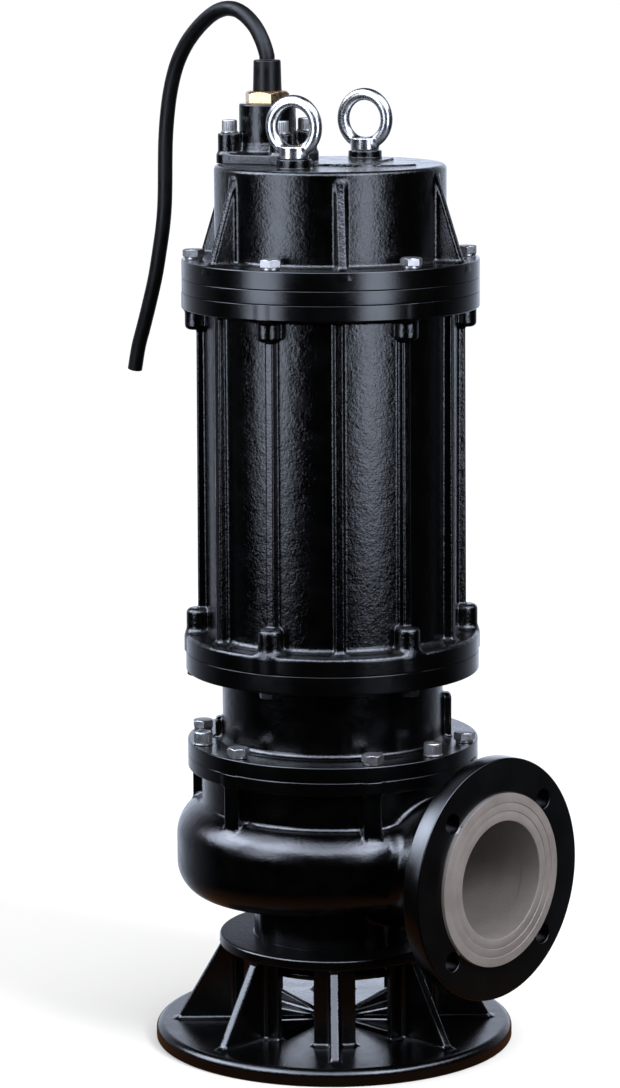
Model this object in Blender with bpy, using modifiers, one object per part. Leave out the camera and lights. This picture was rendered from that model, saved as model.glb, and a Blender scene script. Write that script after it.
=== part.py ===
"""Submersible sewage pump standing on its suction stand.

The origin is on the pump's axis at floor level, +Z is up and +X points out of the discharge flange.
"""
import math

import bmesh
import bpy
from mathutils import Matrix, Vector

# Driving dimensions in metres: levels on the axis, from the floor up
FOOT_TOP = 0.0152
STAND_PLATE_BOTTOM = 0.0862
STAND_TOP = 0.0955
VOLUTE_MID = 0.1752
SCROLL_BOTTOM = 0.1390
NECK_FOOT = 0.2175
COVER_FLANGE_BOTTOM = 0.2485
COVER_FLANGE_JOINT = 0.2600
COVER_FLANGE_TOP = 0.2735
MOTOR_FLANGE_BOTTOM = 0.3363
MOTOR_FLANGE_JOINT = 0.3530
MOTOR_FLANGE_TOP = 0.3690
BEARING_BOTTOM = 0.6700
BEARING_TOP = 0.6823
MOTOR_TOP_FLANGE_BOTTOM = 0.6560
CAP_FLANGE_TOP = 0.6982
CAP_TOP = 0.7795
EYE_BOSS_TOP = 0.7875
EYE_RING_TOP = 0.8420
GLAND_PLATE_TOP = 0.7880
GLAND_POST_TOP = 0.8055
GLAND_TOWER_TOP = 0.8305
GLAND_NUT_TOP = 0.8412
BOOT_TOP = 0.8680

# Radii
FOOT_R = 0.1594
STAND_PLATE_R = 0.1020
STAND_WALL_R = 0.0900
STAND_WALL = 0.0080
SUCTION_NECK_R = 0.0710
SUCTION_BORE_R = 0.0515
NECK_R = 0.1165
COVER_FLANGE_R = 0.1285
OIL_CHAMBER_R = 0.0975
MOTOR_FLANGE_R = 0.1293
MOTOR_CORE_R = 0.1100
MOTOR_RIB_TOP_R = 0.1172
MOTOR_RIB_FOOT_R = 0.1184
TOP_FLANGE_R = 0.1296
CAP_R = 0.1007

# Discharge nozzle: DN100 bore, 170 mm bolt circle, four 18 mm holes
FLANGE_R = 0.1057
FLANGE_FACE_R = 0.0755
FLANGE_FACE_X = 0.1952
FLANGE_RAISE = 0.0020
FLANGE_THICK = 0.0180
FLANGE_BOLT_CIRCLE_R = 0.0850
FLANGE_HOLE_R = 0.0090
DISCHARGE_BORE_R = 0.0515

# Cable
CABLE_D = 0.0135
CABLE_PLANE_DEG = 172.71

# Angles about the axis, in degrees from the discharge
LEG_TURN = -2.3
COVER_BOLT_TURN = -31.0
COVER_SCREW_TURN = -1.0
NECK_BOSS_TURN = -32.0
CAP_BOLT_TURN = -12.8
MOTOR_TURN = -14.4
GLAND_DEG = -162.0
GLAND_NUT_TURN = 34.0
EYE_DEG = (-77.3, 102.7)

# Lugs on the oil chamber: angle, reach from the axis and level of the top
OIL_LUGS = ((42.7, 0.1050, 0.3125), (-137.3, 0.1040, 0.2920))

BOLT_CIRCLE_R = 0.1190
GLAND_R = 0.0596
GLAND_POST_AT = 0.0248
EYE_R = 0.0620
SEAT_GAP = 0.0003

PAINT = ("black_paint", (0.006, 0.006, 0.007), 0.30, 0.0)
STEEL = ("stainless_steel", (0.62, 0.60, 0.57), 0.28, 1.0)
BRASS = ("brass", (0.70, 0.50, 0.22), 0.30, 1.0)
RUBBER = ("black_rubber", (0.012, 0.012, 0.012), 0.60, 0.0)
IRON = ("cast_iron", (0.10, 0.09, 0.085), 0.65, 0.4)


def clear_scene():
    for obj in list(bpy.data.objects):
        bpy.data.objects.remove(obj, do_unlink=True)


def collection(name):
    found = bpy.data.collections.new(name)
    bpy.context.scene.collection.children.link(found)
    return found


def material(name, look):
    label, colour, roughness, metallic = look
    mat = bpy.data.materials.new(f"{name}_{label}")
    mat.use_nodes = True
    shader = mat.node_tree.nodes["Principled BSDF"]
    shader.inputs["Base Color"].default_value = (*colour, 1.0)
    shader.inputs["Roughness"].default_value = roughness
    shader.inputs["Metallic"].default_value = metallic
    return mat


def add_mesh(name, mesh, where):
    obj = bpy.data.objects.new(name, mesh)
    where.objects.link(obj)
    if where is TOOLS:
        obj.hide_render = True
        obj.display_type = "WIRE"
    return obj


def finish(obj, look):
    """Give a finished part its material and smooth shading with sharp edges kept."""
    obj.data.materials.clear()
    obj.data.materials.append(material(obj.name, look))
    obj.data.shade_smooth()
    obj.data.set_sharp_from_angle(angle=math.radians(35))
    return obj


def evaluated_mesh(obj):
    depsgraph = bpy.context.evaluated_depsgraph_get()
    return bpy.data.meshes.new_from_object(obj.evaluated_get(depsgraph))


def turned(name, profile, where, steps=48):
    """A profile of (radius, height) points turned about Z; it runs from the axis down to the axis."""
    mesh = bpy.data.meshes.new(name)
    edges = [(i, i + 1) for i in range(len(profile) - 1)]
    mesh.from_pydata([(r, 0.0, z) for r, z in profile], edges, [])
    obj = add_mesh(name, mesh, where)
    screw = obj.modifiers.new("turn", "SCREW")
    screw.axis = "Z"
    screw.steps = steps
    screw.render_steps = steps
    screw.use_merge_vertices = True
    screw.merge_threshold = 0.0001
    obj.data = evaluated_mesh(obj)
    obj.modifiers.clear()
    return obj


def rod(name, radius, start, end, where, segments=32, radius_end=None):
    """A cylinder or cone between two points."""
    start = Vector(start)
    end = Vector(end)
    axis = end - start
    bm = bmesh.new()
    bmesh.ops.create_cone(bm, cap_ends=True, segments=segments, radius1=radius,
                          radius2=radius if radius_end is None else radius_end, depth=axis.length)
    turn = axis.to_track_quat("Z", "Y").to_matrix().to_4x4()
    bmesh.ops.transform(bm, matrix=Matrix.Translation((start + end) / 2) @ turn, verts=bm.verts)
    mesh = bpy.data.meshes.new(name)
    bm.to_mesh(mesh)
    bm.free()
    return add_mesh(name, mesh, where)


def block(name, low, high, where):
    """A box between two corners."""
    low = Vector(low)
    high = Vector(high)
    bm = bmesh.new()
    bmesh.ops.create_cube(bm, size=1.0)
    bmesh.ops.scale(bm, vec=high - low, verts=bm.verts)
    bmesh.ops.translate(bm, vec=(low + high) / 2, verts=bm.verts)
    mesh = bpy.data.meshes.new(name)
    bm.to_mesh(mesh)
    bm.free()
    return add_mesh(name, mesh, where)


def plate(name, outline, thickness, where):
    """A flat outline of (radius, height) points in the XZ plane, thickened evenly along Y."""
    curve = bpy.data.curves.new(name, "CURVE")
    curve.dimensions = "2D"
    curve.fill_mode = "BOTH"
    curve.extrude = thickness / 2
    spline = curve.splines.new("POLY")
    spline.points.add(len(outline) - 1)
    for point, (r, z) in zip(spline.points, outline):
        point.co = (r, z, 0.0, 1.0)
    spline.use_cyclic_u = True
    drawn = bpy.data.objects.new(name + "_outline", curve)
    where.objects.link(drawn)
    bpy.context.view_layer.update()
    mesh = evaluated_mesh(drawn)
    bpy.data.objects.remove(drawn, do_unlink=True)
    bm = bmesh.new()
    bm.from_mesh(mesh)
    bmesh.ops.remove_doubles(bm, verts=bm.verts, dist=0.00001)
    bmesh.ops.rotate(bm, matrix=Matrix.Rotation(math.radians(90), 3, "X"), verts=bm.verts)
    bmesh.ops.recalc_face_normals(bm, faces=bm.faces)
    bm.to_mesh(mesh)
    bm.free()
    return add_mesh(name, mesh, where)


def around(degrees, radius=0.0, height=0.0):
    """The place of something at an angle about the axis, turned to face outward."""
    turn = Matrix.Rotation(math.radians(degrees), 4, "Z")
    return turn @ Matrix.Translation((radius, 0.0, height))


def combine(target, tools, operation):
    """Apply one exact Boolean of each tool to the target's mesh."""
    for tool in tools:
        step = target.modifiers.new(operation.lower(), "BOOLEAN")
        step.operation = operation
        step.solver = "EXACT"
        step.object = tool
    bpy.context.view_layer.update()
    target.data = evaluated_mesh(target)
    target.modifiers.clear()
    return target


def repeated(tool, places, where):
    """Copies of a tool's mesh at each place, as one object of bodies that don't touch."""
    bm = bmesh.new()
    for place in places:
        start = len(bm.verts)
        bm.from_mesh(tool.data)
        bm.verts.ensure_lookup_table()
        bmesh.ops.transform(bm, matrix=place, verts=bm.verts[start:])
    mesh = bpy.data.meshes.new(tool.name + "_row")
    bm.to_mesh(mesh)
    bm.free()
    bpy.data.objects.remove(tool, do_unlink=True)
    return add_mesh(mesh.name, mesh, where)


def ring_of(count, turn=0.0, radius=0.0, height=0.0):
    return [around(turn + 360.0 / count * i, radius, height) for i in range(count)]


def arc(centre_r, centre_z, radius, start, end, steps):
    """Profile points along an arc; angles in degrees, 0 outward and 90 up."""
    points = []
    for i in range(steps + 1):
        a = math.radians(start + (end - start) * i / steps)
        points.append((centre_r + radius * math.cos(a), centre_z + radius * math.sin(a)))
    return points


def rounded_disc(name, radius, bottom, top, edge, where, steps=48):
    profile = [(0.0, top)]
    profile += arc(radius - edge, top - edge, edge, 90, 0, 2)
    profile += arc(radius - edge, bottom + edge, edge, 0, -90, 2)
    profile.append((0.0, bottom))
    return turned(name, profile, where, steps)


def base_stand():
    """Foot disc, eight legs with outer gussets and the plate that the pump stands on."""
    legs = 8
    leg_width = 0.0390
    gusset = 0.0072
    gusset_foot_r = 0.1387
    gusset_head_r = 0.1010
    rim_edge = 0.0045
    plate_edge = 0.0024
    cut_through = 0.0600
    rim_top = FOOT_TOP - 0.0010
    inner = STAND_WALL_R - STAND_WALL
    under = STAND_PLATE_BOTTOM
    profile = [(0.0, FOOT_TOP), (inner, FOOT_TOP), (inner, under), (SUCTION_BORE_R, under),
               (SUCTION_BORE_R, STAND_TOP)]
    profile += arc(STAND_PLATE_R - plate_edge, STAND_TOP - plate_edge, plate_edge, 90, 0, 2)
    profile += [(STAND_PLATE_R, under), (STAND_WALL_R, under), (STAND_WALL_R, FOOT_TOP)]
    profile += arc(FOOT_R - rim_edge, rim_top - rim_edge, rim_edge, 90, 0, 3)
    profile += [(FOOT_R, 0.0015), (FOOT_R - 0.0015, 0.0), (0.0, 0.0)]
    body = turned("base_stand", profile, PARTS, 48)
    window_half = STAND_WALL_R * math.sin(math.pi / legs) - leg_width / 2 * math.cos(math.pi / legs)
    corner = 0.0030
    outline = [(-window_half, FOOT_TOP), (window_half, FOOT_TOP)]
    outline += arc(window_half - corner, under - corner, corner, 0, 90, 2)
    outline += arc(-window_half + corner, under - corner, corner, 90, 180, 2)
    window = plate("stand_window", outline, cut_through, TOOLS)
    sideways = Matrix.Rotation(math.radians(90), 4, "Z")
    places = [place @ sideways for place in ring_of(legs, LEG_TURN + 180.0 / legs, STAND_WALL_R)]
    windows = repeated(window, places, TOOLS)
    combine(body, [windows], "DIFFERENCE")
    inside = STAND_WALL_R - 0.004
    weld_r = gusset_head_r - 0.003
    outline = [(inside, FOOT_TOP - 0.003), (gusset_foot_r, FOOT_TOP - 0.003),
               (gusset_foot_r, FOOT_TOP + 0.0040), (gusset_head_r, under - 0.0055), (weld_r, under - 0.001),
               (weld_r, under + 0.002), (inside, under + 0.002)]
    web = plate("stand_gusset", outline, gusset, TOOLS)
    webs = repeated(web, ring_of(legs, LEG_TURN), TOOLS)
    combine(body, [webs], "UNION")
    return finish(body, PAINT)


def scroll_section(growth, inset, inner):
    """The scroll's outline as (radius, height); growth runs from 0 at the tongue to 1 at the discharge."""
    outer = 0.1290 + 0.0300 * growth - inset
    top = 0.2165 + 0.0040 * growth - inset
    bottom = SCROLL_BOTTOM - 0.0240 * growth + inset
    corner = 0.0300 + 0.0060 * growth - inset
    points = [(inner, top)]
    points += arc(outer - corner, top - corner, corner, 90, 0, 4)
    points += arc(outer - corner, bottom + corner, corner, 0, -90, 4)
    points.append((inner, bottom))
    return points


def scroll(name, inset, inner, start, end, steps, where):
    """The spiral: its sections are joined in a clockwise sweep, seen from above, and closed at both ends."""
    bm = bmesh.new()
    rings = []
    for i in range(steps + 1):
        growth = i / steps
        degrees = start + (end - start) * growth
        turn = Matrix.Rotation(math.radians(degrees), 3, "Z")
        section = scroll_section(growth, inset, inner)
        rings.append([bm.verts.new(turn @ Vector((r, 0.0, z))) for r, z in section])
    for one, two in zip(rings, rings[1:]):
        for j in range(len(one)):
            k = (j + 1) % len(one)
            bm.faces.new((one[j], one[k], two[k], two[j]))
    bm.faces.new(rings[0])
    bm.faces.new(rings[-1])
    bmesh.ops.recalc_face_normals(bm, faces=bm.faces)
    mesh = bpy.data.meshes.new(name)
    bm.to_mesh(mesh)
    bm.free()
    return add_mesh(name, mesh, where)


def volute_casing():
    """Scroll, upper neck with bolt bosses, suction neck and discharge nozzle, cast as one hollow piece."""
    wall = 0.0090
    scroll_start = -28.0
    scroll_end = -352.0
    column_r = 0.0115
    bottom = STAND_TOP + SEAT_GAP
    chamber_floor = SCROLL_BOTTOM + wall
    boss_width = 0.0170
    boss_face_r = 0.1280
    chamber_r = 0.1040
    profile = [(0.0, COVER_FLANGE_JOINT), (COVER_FLANGE_R - 0.0005, COVER_FLANGE_JOINT),
               (COVER_FLANGE_R, COVER_FLANGE_JOINT - 0.0005), (COVER_FLANGE_R, COVER_FLANGE_BOTTOM + 0.001),
               (COVER_FLANGE_R - 0.001, COVER_FLANGE_BOTTOM), (NECK_R, COVER_FLANGE_BOTTOM),
               (NECK_R, NECK_FOOT + 0.003), (NECK_R + 0.0035, NECK_FOOT - 0.002), (0.090, 0.150),
               (SUCTION_NECK_R + 0.006, 0.1320), (SUCTION_NECK_R, 0.1260), (SUCTION_NECK_R, bottom + 0.0070),
               (SUCTION_NECK_R + 0.0050, bottom + 0.0050), (SUCTION_NECK_R + 0.0050, bottom), (0.0, bottom)]
    body = turned("volute_casing", profile, PARTS)
    spiral = scroll("scroll_outside", 0.0, 0.060, scroll_start, scroll_end, 28, TOOLS)
    boss_top = COVER_FLANGE_BOTTOM + 0.002
    boss = block("neck_boss", (0.100, -boss_width / 2, 0.195), (boss_face_r, boss_width / 2, boss_top), TOOLS)
    bosses = repeated(boss, ring_of(6, NECK_BOSS_TURN), TOOLS)
    column = rod("suction_column", column_r, (0, 0, bottom), (0, 0, 0.150), TOOLS, 12)
    columns = repeated(column, ring_of(4, -105.0, SUCTION_NECK_R - 0.006), TOOLS)
    throat = rod("nozzle", 0.0560, (0.080, 0, VOLUTE_MID), (0.150, 0, VOLUTE_MID), TOOLS, 32, 0.0600)
    flare = rod("nozzle_flare", 0.0600, (0.1495, 0, VOLUTE_MID), (0.1790, 0, VOLUTE_MID), TOOLS, 32, 0.0680)
    rim_x = FLANGE_FACE_X - FLANGE_RAISE
    rim = rod("flange", FLANGE_R, (rim_x - FLANGE_THICK, 0, VOLUTE_MID), (rim_x, 0, VOLUTE_MID), TOOLS, 48)
    face = rod("flange_face", FLANGE_FACE_R, (rim_x - 0.005, 0, VOLUTE_MID), (FLANGE_FACE_X, 0, VOLUTE_MID),
               TOOLS, 48)
    combine(body, [spiral, bosses, columns, throat, flare, rim, face], "UNION")
    passage = scroll("scroll_inside", wall, 0.040, scroll_start - 2.0, scroll_end, 24, TOOLS)
    chamber = rod("chamber", chamber_r, (0, 0, chamber_floor), (0, 0, COVER_FLANGE_TOP), TOOLS, 40)
    suction = rod("suction_bore", SUCTION_BORE_R, (0, 0, 0.080), (0, 0, 0.160), TOOLS, 32)
    bore = rod("discharge_bore", DISCHARGE_BORE_R, (0.090, 0, VOLUTE_MID), (0.210, 0, VOLUTE_MID), TOOLS, 32)
    hole = rod("flange_hole", FLANGE_HOLE_R, (0.165, 0, 0), (0.205, 0, 0), TOOLS, 12)
    places = []
    for i in range(4):
        a = math.radians(45 + 90 * i)
        places.append(Matrix.Translation((0.0, FLANGE_BOLT_CIRCLE_R * math.cos(a),
                                          VOLUTE_MID + FLANGE_BOLT_CIRCLE_R * math.sin(a))))
    holes = repeated(hole, places, TOOLS)
    combine(body, [passage, chamber, suction, bore, holes], "DIFFERENCE")
    return finish(body, PAINT)


def impeller():
    """Open impeller with three swept vanes under a shroud disc; its hub meets the shaft end above."""
    top = 0.2010
    shroud = 0.0080
    profile = [(0.0, top + 0.0040), (0.0200, top + 0.0040), (0.0200, top), (0.0860, top),
               (0.0880, top - 0.002), (0.0880, top - shroud), (0.0280, top - shroud - 0.004),
               (0.0200, top - 0.0350), (0.0, top - 0.0400)]
    body = turned("impeller", profile, PARTS, 32)
    vane_foot = 0.1620
    sweep = [(0.0150, -20.0), (0.0350, 10.0), (0.0550, 34.0), (0.0840, 62.0)]
    outer = []
    inner = []
    for r, degrees in sweep:
        a = math.radians(degrees)
        side = Vector((-math.sin(a + 0.7), math.cos(a + 0.7))) * 0.004
        middle = Vector((r * math.cos(a), r * math.sin(a)))
        outer.append(middle + side)
        inner.append(middle - side)
    bm = bmesh.new()
    corners = [bm.verts.new((p.x, p.y, vane_foot)) for p in outer + inner[::-1]]
    sole = bm.faces.new(corners)
    grown = bmesh.ops.extrude_face_region(bm, geom=[sole])
    lifted = [v for v in grown["geom"] if isinstance(v, bmesh.types.BMVert)]
    bmesh.ops.translate(bm, vec=(0, 0, top - 0.002 - vane_foot), verts=lifted)
    bmesh.ops.recalc_face_normals(bm, faces=bm.faces)
    mesh = bpy.data.meshes.new("vane")
    bm.to_mesh(mesh)
    bm.free()
    vane = add_mesh("vane", mesh, TOOLS)
    for i in range(3):
        one = add_mesh(f"vane_{i + 1}", vane.data.copy(), TOOLS)
        one.data.transform(around(120.0 * i))
        combine(body, [one], "UNION")
    bpy.data.objects.remove(vane, do_unlink=True)
    return finish(body, IRON)


def oil_chamber():
    """Cover of the volute with the seal and oil housing above it and the shaft end below."""
    spigot_r = 0.1030
    spigot_bottom = 0.2120
    shaft_r = 0.0180
    shaft_end = 0.2010 + 0.0040 + SEAT_GAP
    flange_foot = COVER_FLANGE_JOINT + SEAT_GAP
    fillet = 0.0060
    neck_fillet = 0.0030
    lug_width = 0.0140
    top = MOTOR_FLANGE_JOINT - SEAT_GAP
    profile = [(0.0, top), (MOTOR_FLANGE_R - 0.0005, top), (MOTOR_FLANGE_R, top - 0.0005),
               (MOTOR_FLANGE_R, MOTOR_FLANGE_BOTTOM + 0.001), (MOTOR_FLANGE_R - 0.001, MOTOR_FLANGE_BOTTOM)]
    profile += arc(OIL_CHAMBER_R + neck_fillet, MOTOR_FLANGE_BOTTOM - neck_fillet, neck_fillet, 90, 180, 2)
    profile += arc(OIL_CHAMBER_R + fillet, COVER_FLANGE_TOP + fillet, fillet, 180, 270, 3)
    profile += [(COVER_FLANGE_R - 0.001, COVER_FLANGE_TOP), (COVER_FLANGE_R, COVER_FLANGE_TOP - 0.001),
                (COVER_FLANGE_R, flange_foot + 0.0005), (COVER_FLANGE_R - 0.0005, flange_foot),
                (spigot_r, flange_foot), (spigot_r, spigot_bottom), (shaft_r, spigot_bottom),
                (shaft_r, shaft_end), (0.0, shaft_end)]
    body = turned("oil_chamber", profile, PARTS)
    lugs = []
    for degrees, reach, lug_top in OIL_LUGS:
        outline = [(0.090, COVER_FLANGE_TOP - 0.002), (reach, COVER_FLANGE_TOP - 0.002),
                   (reach, lug_top - 0.0065), (reach - 0.0025, lug_top - 0.0015), (reach - 0.0070, lug_top),
                   (0.090, lug_top)]
        lug = plate("oil_lug", outline, lug_width, TOOLS)
        lug.data.transform(around(degrees))
        lugs.append(lug)
    combine(body, lugs, "UNION")
    return finish(body, PAINT)


def bolt_boss(name, radius, top, bottom, domed_top):
    """A round boss about Z whose free end is domed."""
    dome = radius * 0.45
    bevel = dome * 0.3
    upper = [(0.0, top), (radius, top)]
    lower = [(radius, bottom), (0.0, bottom)]
    if domed_top:
        upper = [(0.0, top), (radius - dome, top), (radius - bevel, top - bevel), (radius, top - dome)]
    else:
        lower = [(radius, bottom + dome), (radius - bevel, bottom + bevel), (radius - dome, bottom),
                 (0.0, bottom)]
    return turned(name, upper + lower, TOOLS, 12)


def motor_body():
    """Stator housing: a ribbed barrel between two flanges, with bosses where the bolts run in."""
    ribs = 12
    rib = 0.0080
    upper_r = 0.0100
    upper_at = 0.1172
    upper_height = 0.0190
    lower_r = 0.0108
    lower_at = 0.1178
    lower_height = 0.0220
    bottom = MOTOR_FLANGE_JOINT
    top = BEARING_BOTTOM - SEAT_GAP
    flange_foot = MOTOR_TOP_FLANGE_BOTTOM
    inside = 0.1000
    fillet = 0.0050
    edge = 0.0040
    profile = [(0.0, top), (TOP_FLANGE_R - 0.0005, top), (TOP_FLANGE_R, top - 0.0005),
               (TOP_FLANGE_R, flange_foot + 0.001), (TOP_FLANGE_R - 0.001, flange_foot)]
    profile += arc(MOTOR_CORE_R + fillet, flange_foot - fillet, fillet, 90, 180, 2)
    profile += arc(MOTOR_CORE_R + fillet, MOTOR_FLANGE_TOP + fillet, fillet, 180, 270, 2)
    profile += arc(MOTOR_FLANGE_R - edge, MOTOR_FLANGE_TOP - edge, edge, 90, 0, 2)
    profile += [(MOTOR_FLANGE_R, bottom + 0.0005), (MOTOR_FLANGE_R - 0.0005, bottom), (0.0, bottom)]
    body = turned("motor_body", profile, PARTS)
    outline = [(inside, MOTOR_FLANGE_TOP - 0.002), (MOTOR_RIB_FOOT_R, MOTOR_FLANGE_TOP - 0.002),
               (MOTOR_RIB_TOP_R, flange_foot + 0.002), (inside, flange_foot + 0.002)]
    web = plate("motor_rib", outline, rib, TOOLS)
    webs = repeated(web, ring_of(ribs, MOTOR_TURN), TOOLS)
    upper = bolt_boss("upper_boss", upper_r, flange_foot + 0.002, flange_foot - upper_height, False)
    uppers = repeated(upper, ring_of(6, MOTOR_TURN, upper_at), TOOLS)
    lower = bolt_boss("lower_boss", lower_r, MOTOR_FLANGE_TOP + lower_height, MOTOR_FLANGE_TOP - 0.002, True)
    lowers = repeated(lower, ring_of(6, MOTOR_TURN, lower_at), TOOLS)
    combine(body, [webs, uppers, lowers], "UNION")
    return finish(body, PAINT)


def bearing_plate():
    body = rounded_disc("bearing_plate", TOP_FLANGE_R, BEARING_BOTTOM, BEARING_TOP - SEAT_GAP, 0.0006, PARTS)
    return finish(body, PAINT)


def top_cap():
    """Terminal housing cover with its flange, six gussets and the pads that the eye bolts stand on."""
    edge = 0.0045
    fillet = 0.0040
    pad_r = 0.0148
    bevel = 0.0015
    gusset = 0.0090
    profile = [(0.0, CAP_TOP)]
    profile += arc(CAP_R - edge, CAP_TOP - edge, edge, 90, 0, 3)
    profile += arc(CAP_R + fillet, CAP_FLANGE_TOP + fillet, fillet, 180, 270, 2)
    profile += [(TOP_FLANGE_R - 0.001, CAP_FLANGE_TOP), (TOP_FLANGE_R, CAP_FLANGE_TOP - 0.001),
                (TOP_FLANGE_R, BEARING_TOP + 0.0005), (TOP_FLANGE_R - 0.0005, BEARING_TOP),
                (0.0, BEARING_TOP)]
    body = turned("top_cap", profile, PARTS)
    web = plate("cap_gusset", [(0.095, CAP_FLANGE_TOP - 0.002), (0.1240, CAP_FLANGE_TOP - 0.002),
                               (0.1240, CAP_FLANGE_TOP + 0.003), (0.1020, CAP_TOP - 0.012),
                               (0.095, CAP_TOP - 0.008)], gusset, TOOLS)
    webs = repeated(web, ring_of(6, CAP_BOLT_TURN + 30.0), TOOLS)
    pads = []
    for degrees in EYE_DEG:
        outline = [(0.0, EYE_BOSS_TOP), (pad_r - bevel, EYE_BOSS_TOP), (pad_r, EYE_BOSS_TOP - bevel),
                   (pad_r, CAP_TOP + bevel), (pad_r + bevel, CAP_TOP), (pad_r + bevel, CAP_TOP - 0.002),
                   (0.0, CAP_TOP - 0.002)]
        pad = turned("eye_pad", outline, TOOLS, 24)
        pad.data.transform(around(degrees, EYE_R))
        pads.append(pad)
    combine(body, [webs] + pads, "UNION")
    return finish(body, PAINT)


def gland_corners():
    """Places of the four screws, about the gland's own axis."""
    return [Matrix.Translation((x * GLAND_POST_AT, y * GLAND_POST_AT, 0)) for x in (-1, 1) for y in (-1, 1)]


def gland_box():
    """Cable entry: a square foot with four screw posts round a turned tower."""
    half = 0.0360
    corner = 0.0110
    post_r = 0.0105
    tower_r = 0.0250
    foot = CAP_TOP + SEAT_GAP
    outline = []
    for i in range(4):
        sx = (1, -1, -1, 1)[i]
        sy = (1, 1, -1, -1)[i]
        outline += arc(sx * (half - corner), sy * (half - corner), corner, 90 * i, 90 * i + 90, 3)
    base = plate("gland_box", outline, GLAND_PLATE_TOP - foot, PARTS)
    base.data.transform(Matrix.Translation((0, 0, (foot + GLAND_PLATE_TOP) / 2)) @ Matrix.Rotation(
        math.radians(-90), 4, "X"))
    outline = [(0.0, GLAND_TOWER_TOP), (tower_r - 0.002, GLAND_TOWER_TOP), (tower_r, GLAND_TOWER_TOP - 0.002),
               (tower_r, GLAND_PLATE_TOP + 0.010), (tower_r + 0.004, GLAND_PLATE_TOP - 0.002),
               (0.0, GLAND_PLATE_TOP - 0.004)]
    tower = turned("gland_tower", outline, TOOLS, 32)
    post = rod("gland_post", post_r, (0, 0, GLAND_PLATE_TOP - 0.004), (0, 0, GLAND_POST_TOP), TOOLS, 16)
    posts = repeated(post, gland_corners(), TOOLS)
    combine(base, [tower, posts], "UNION")
    base.data.transform(around(GLAND_DEG, GLAND_R))
    return finish(base, PAINT)


def gland_nut():
    across_corners = 0.0406
    foot = GLAND_TOWER_TOP + SEAT_GAP
    body = rod("gland_nut", across_corners / 2, (0, 0, foot), (0, 0, GLAND_NUT_TOP), PARTS, 6)
    body.data.transform(around(GLAND_DEG, GLAND_R) @ around(GLAND_NUT_TURN))
    return finish(body, BRASS)


def cable_boot():
    """Rubber sleeve that grips the cable above the nut."""
    foot = GLAND_NUT_TOP + SEAT_GAP
    profile = [(0.0, BOOT_TOP), (0.0106, BOOT_TOP), (0.0119, BOOT_TOP - 0.0013), (0.0126, foot), (0.0, foot)]
    body = turned("cable_boot", profile, PARTS, 28)
    body.data.transform(around(GLAND_DEG, GLAND_R))
    return finish(body, RUBBER)


# The cable's route, boot to bare end: distance from the boot's axis in the loop's plane, and height
CABLE_ROUTE = [(0.0000, 0.8684), (0.0000, 0.8710), (0.0022, 0.8765), (0.0066, 0.8845), (0.0147, 0.8948),
               (0.0265, 0.9037), (0.0390, 0.9093), (0.0520, 0.9110), (0.0650, 0.9092), (0.0770, 0.9047),
               (0.0885, 0.8982), (0.0995, 0.8905), (0.1100, 0.8815), (0.1190, 0.8715), (0.1265, 0.8605),
               (0.1325, 0.8480), (0.1380, 0.8315), (0.1420, 0.8125), (0.1445, 0.7930), (0.1456, 0.7720),
               (0.1467, 0.7400), (0.1495, 0.7170), (0.1550, 0.6935), (0.1620, 0.6680), (0.1705, 0.6450),
               (0.1800, 0.6215), (0.1885, 0.6015), (0.1945, 0.5800)]


def smooth_route(points, spacing):
    """Points about one spacing apart on a Catmull-Rom curve through the route."""
    padded = [2 * points[0] - points[1]] + points + [2 * points[-1] - points[-2]]
    fine = []
    for a, b, c, d in zip(padded, padded[1:], padded[2:], padded[3:]):
        for i in range(8):
            t = i / 8
            fine.append(0.5 * (2 * b + (c - a) * t + (2 * a - 5 * b + 4 * c - d) * t * t
                               + (3 * b - a - 3 * c + d) * t * t * t))
    fine.append(points[-1])
    total = sum((q - p).length for p, q in zip(fine, fine[1:]))
    count = max(2, round(total / spacing))
    kept = [fine[0]]
    travelled = 0.0
    for p, q in zip(fine, fine[1:]):
        travelled += (q - p).length
        if travelled >= len(kept) * total / count and len(kept) < count:
            kept.append(q)
    kept.append(fine[-1])
    return kept


def power_cable():
    """The cable's cut length, hanging free from the boot."""
    boot = around(GLAND_DEG, GLAND_R).translation
    a = math.radians(CABLE_PLANE_DEG)
    points = [Vector((boot.x + s * math.cos(a), boot.y + s * math.sin(a), z)) for s, z in CABLE_ROUTE]
    kept = [points[0]] + smooth_route(points[1:], CABLE_D)
    curve = bpy.data.curves.new("power_cable", "CURVE")
    curve.dimensions = "3D"
    curve.bevel_depth = CABLE_D / 2
    curve.bevel_resolution = 2
    curve.use_fill_caps = True
    spline = curve.splines.new("POLY")
    spline.points.add(len(kept) - 1)
    for point, place in zip(spline.points, kept):
        point.co = (*place, 1.0)
    obj = bpy.data.objects.new("power_cable", curve)
    PARTS.objects.link(obj)
    curve.materials.append(material("power_cable", RUBBER))
    return obj


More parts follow.
